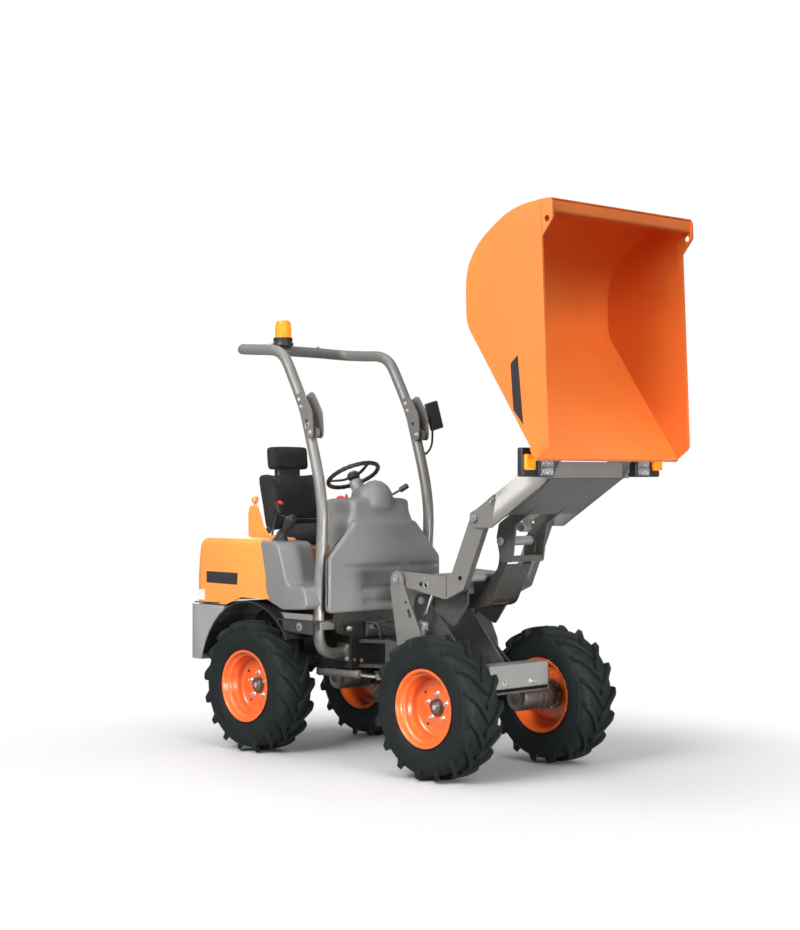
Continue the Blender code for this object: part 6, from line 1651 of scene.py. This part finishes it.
def backdrop_world():
    """Soft light, stronger from above, and white where the camera or a lens looks at it."""
    world = bpy.data.worlds.new("studio")
    world.use_nodes = True
    tree = world.node_tree
    tree.nodes.clear()

    def add(kind, **links):
        node = tree.nodes.new(kind)
        for name, value in links.items():
            socket = node.inputs[int(name[1:])]
            if isinstance(value, bpy.types.NodeSocket):
                tree.links.new(value, socket)
            else:
                socket.default_value = value
        return node

    way = add("ShaderNodeTexCoord").outputs["Generated"]
    height = add("ShaderNodeSeparateXYZ", s0=way).outputs["Z"]
    low, high = LIGHT_TURN
    fill = add("ShaderNodeMapRange", s0=height, s1=low, s2=high, s3=LIGHT_FROM_BELOW, s4=LIGHT_FROM_ABOVE)
    path = add("ShaderNodeLightPath").outputs
    seen = add("ShaderNodeMath", s0=path["Is Camera Ray"], s1=path["Is Transmission Ray"])
    seen.operation = "MAXIMUM"
    dim = add("ShaderNodeBackground", s1=fill.outputs[0])
    white = add("ShaderNodeBackground", s1=1.0)
    for shade_node in (dim, white):
        shade_node.inputs[0].default_value = (1.0, 1.0, 1.0, 1.0)
    pick = add("ShaderNodeMixShader", s0=seen.outputs[0], s1=dim.outputs[0], s2=white.outputs[0])
    add("ShaderNodeOutputWorld", s0=pick.outputs[0])
    bpy.context.scene.world = world


@finish
def pale_floor(name):
    """A matt white floor that runs into the white behind it, away from the machine's shadow."""
    floor = Shader(name, 0.9)
    floor.set("Base Color", floor.mix(floor.noise(0.6, 2.0), (0.55, 0.55, 0.55), (0.58, 0.58, 0.58)))
    reach = floor.node("ShaderNodeVectorMath", {"operation": "LENGTH"}, {0: floor.place()}, "Value")
    seen = floor.node("ShaderNodeLightPath", output="Is Camera Ray")
    white = floor.node("ShaderNodeEmission")
    pick = floor.node("ShaderNodeMixShader", None, {0: reach.above(*FLOOR_FADE) * seen, 2: white})
    floor.tree.links.new(floor.surface.outputs[0], pick.socket.node.inputs[1])
    floor.tree.links.new(pick.socket, floor.tree.nodes["Material Output"].inputs["Surface"])
    return floor


def make_stage():
    bpy.context.scene.view_settings.view_transform = "Standard"
    camera = bpy.data.cameras.new("photo_camera")
    camera.lens = CAMERA_LENS
    camera.sensor_width = 36.0
    camera.shift_y = CAMERA_SHIFT
    camera.clip_end = 200.0
    stand = add_object("photo_camera", camera)
    stand.location = CAMERA_PLACE
    stand.rotation_euler = CAMERA_TURN
    bpy.context.scene.camera = stand
    backdrop_world()
    bm = bmesh.new()
    bmesh.ops.create_grid(bm, x_segments=4, y_segments=4, size=60.0)
    mesh = bpy.data.meshes.new("floor")
    bm.to_mesh(mesh)
    bm.free()
    mesh.materials.append(pale_floor())
    floor = add_object("floor", mesh)
    floor.location = (0, 0, -0.002)
    floor.visible_diffuse = False
    for lamp in LAMPS:
        area_lamp(*lamp)


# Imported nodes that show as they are

NODE_FINISHES = {
    "rear_frame": chassis_dark,
    "lift_link": chassis_dark,
    "engine": chassis_dark,
    "mudguard_left": black_plastic,
    "mudguard_right": black_plastic,
}


def finish_nodes():
    for name, get in NODE_FINISHES.items():
        materials = NODES[name].data.materials
        materials.clear()
        materials.append(get())


class DUMPER_OT_stage(bpy.types.Operator):
    """Add the camera, the lamps and the floor"""
    bl_idname = "dumper.stage"
    bl_label = "Stage"

    def execute(self, context):
        make_stage()
        return {"FINISHED"}


class DUMPER_OT_frame_finishes(bpy.types.Operator):
    """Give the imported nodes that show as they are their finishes"""
    bl_idname = "dumper.frame_finishes"
    bl_label = "Frame Finishes"

    def execute(self, context):
        finish_nodes()
        return {"FINISHED"}


class DUMPER_OT_wheels(bpy.types.Operator):
    """Add the four tyres and their dish rims"""
    bl_idname = "dumper.wheels"
    bl_label = "Wheels"

    def execute(self, context):
        make_tyres()
        make_rims()
        return {"FINISHED"}


class DUMPER_OT_roll_bar(bpy.types.Operator):
    """Add the folding roll bar with its beacon and mirror"""
    bl_idname = "dumper.roll_bar"
    bl_label = "Roll Bar"

    def execute(self, context):
        make_roll_bar()
        make_beacon()
        make_mirror()
        return {"FINISHED"}


class DUMPER_OT_body(bpy.types.Operator):
    """Add the hood, the mouldings and the counterweight"""
    bl_idname = "dumper.body"
    bl_label = "Hood and Mouldings"

    def execute(self, context):
        make_console()
        make_side_panels()
        make_counterweight()
        make_hood()
        return {"FINISHED"}


class DUMPER_OT_seat(bpy.types.Operator):
    """Add the seat with its padded cushions, bracket and belt"""
    bl_idname = "dumper.seat"
    bl_label = "Seat"

    def execute(self, context):
        make_seat_frame()
        make_seat()
        return {"FINISHED"}


class DUMPER_OT_controls(bpy.types.Operator):
    """Add the steering wheel and the joystick"""
    bl_idname = "dumper.controls"
    bl_label = "Controls"

    def execute(self, context):
        make_steering_wheel()
        make_joystick()
        return {"FINISHED"}


class DUMPER_OT_lift_gear(bpy.types.Operator):
    """Add the arms, the tip frame, the cylinders and the fittings of the arms, link and tip frame"""
    bl_idname = "dumper.lift_gear"
    bl_label = "Lift Gear"

    def execute(self, context):
        # Outer side faces in the frame paint; all other faces in its darker copy, painted shade.
        rounded_copy("lift_arm_pair", "lift_arms", frame_dark(), "lift_arms", 0,
                     (frame_grey(), 0.20))
        rounded_copy("tip_frame", "lift_frame", frame_dark(), "lift_frame", 0,
                     (frame_grey(), 0.28))
        make_cylinders()
        make_arm_fittings()
        make_tip_frame_fittings()
        make_link_fittings()
        return {"FINISHED"}


class DUMPER_OT_skip(bpy.types.Operator):
    """Add the skip with its welds and blank films, and the lamps below it"""
    bl_idname = "dumper.skip"
    bl_label = "Skip and Lamps"

    def execute(self, context):
        make_skip()
        make_skip_trim()
        make_lamps()
        return {"FINISHED"}


class DUMPER_OT_chassis(bpy.types.Operator):
    """Add the front frame, the chassis fittings, the hoses and the wheel motors"""
    bl_idname = "dumper.chassis"
    bl_label = "Chassis"

    def execute(self, context):
        # Outer side faces in the frame paint; all other faces in its darker copy, painted shade.
        rounded_copy("front_chassis_frame", "front_frame", frame_dark(), "front_chassis", 0,
                     (frame_grey(), 0.28))
        make_front_chassis_fittings()
        make_rear_chassis_fittings()
        make_hoses()
        make_motors()
        return {"FINISHED"}


OPERATORS = (DUMPER_OT_stage, DUMPER_OT_frame_finishes, DUMPER_OT_wheels, DUMPER_OT_roll_bar,
             DUMPER_OT_body, DUMPER_OT_seat, DUMPER_OT_controls, DUMPER_OT_lift_gear, DUMPER_OT_skip,
             DUMPER_OT_chassis)


class DUMPER_PT_panel(bpy.types.Panel):
    """Lists the pieces and their settings"""
    bl_label = "Site Dumper"
    bl_idname = "DUMPER_PT_panel"
    bl_space_type = "VIEW_3D"
    bl_region_type = "UI"
    bl_category = "Dumper"

    def draw(self, context):
        for name in DumperLook.__annotations__:
            self.layout.prop(context.scene.dumper_look, name)
        for operator in OPERATORS:
            self.layout.operator(operator.bl_idname)


CLASSES = (DumperLook, *OPERATORS, DUMPER_PT_panel)


def register():
    for each in CLASSES:
        bpy.utils.register_class(each)
    bpy.types.Scene.dumper_look = PointerProperty(type=DumperLook)


def unregister():
    del bpy.types.Scene.dumper_look
    for each in reversed(CLASSES):
        bpy.utils.unregister_class(each)


def main():
    register()
    for operator in OPERATORS:
        group, name = operator.bl_idname.split(".")
        getattr(getattr(bpy.ops, group), name)()


if __name__ == "__main__":
    main()
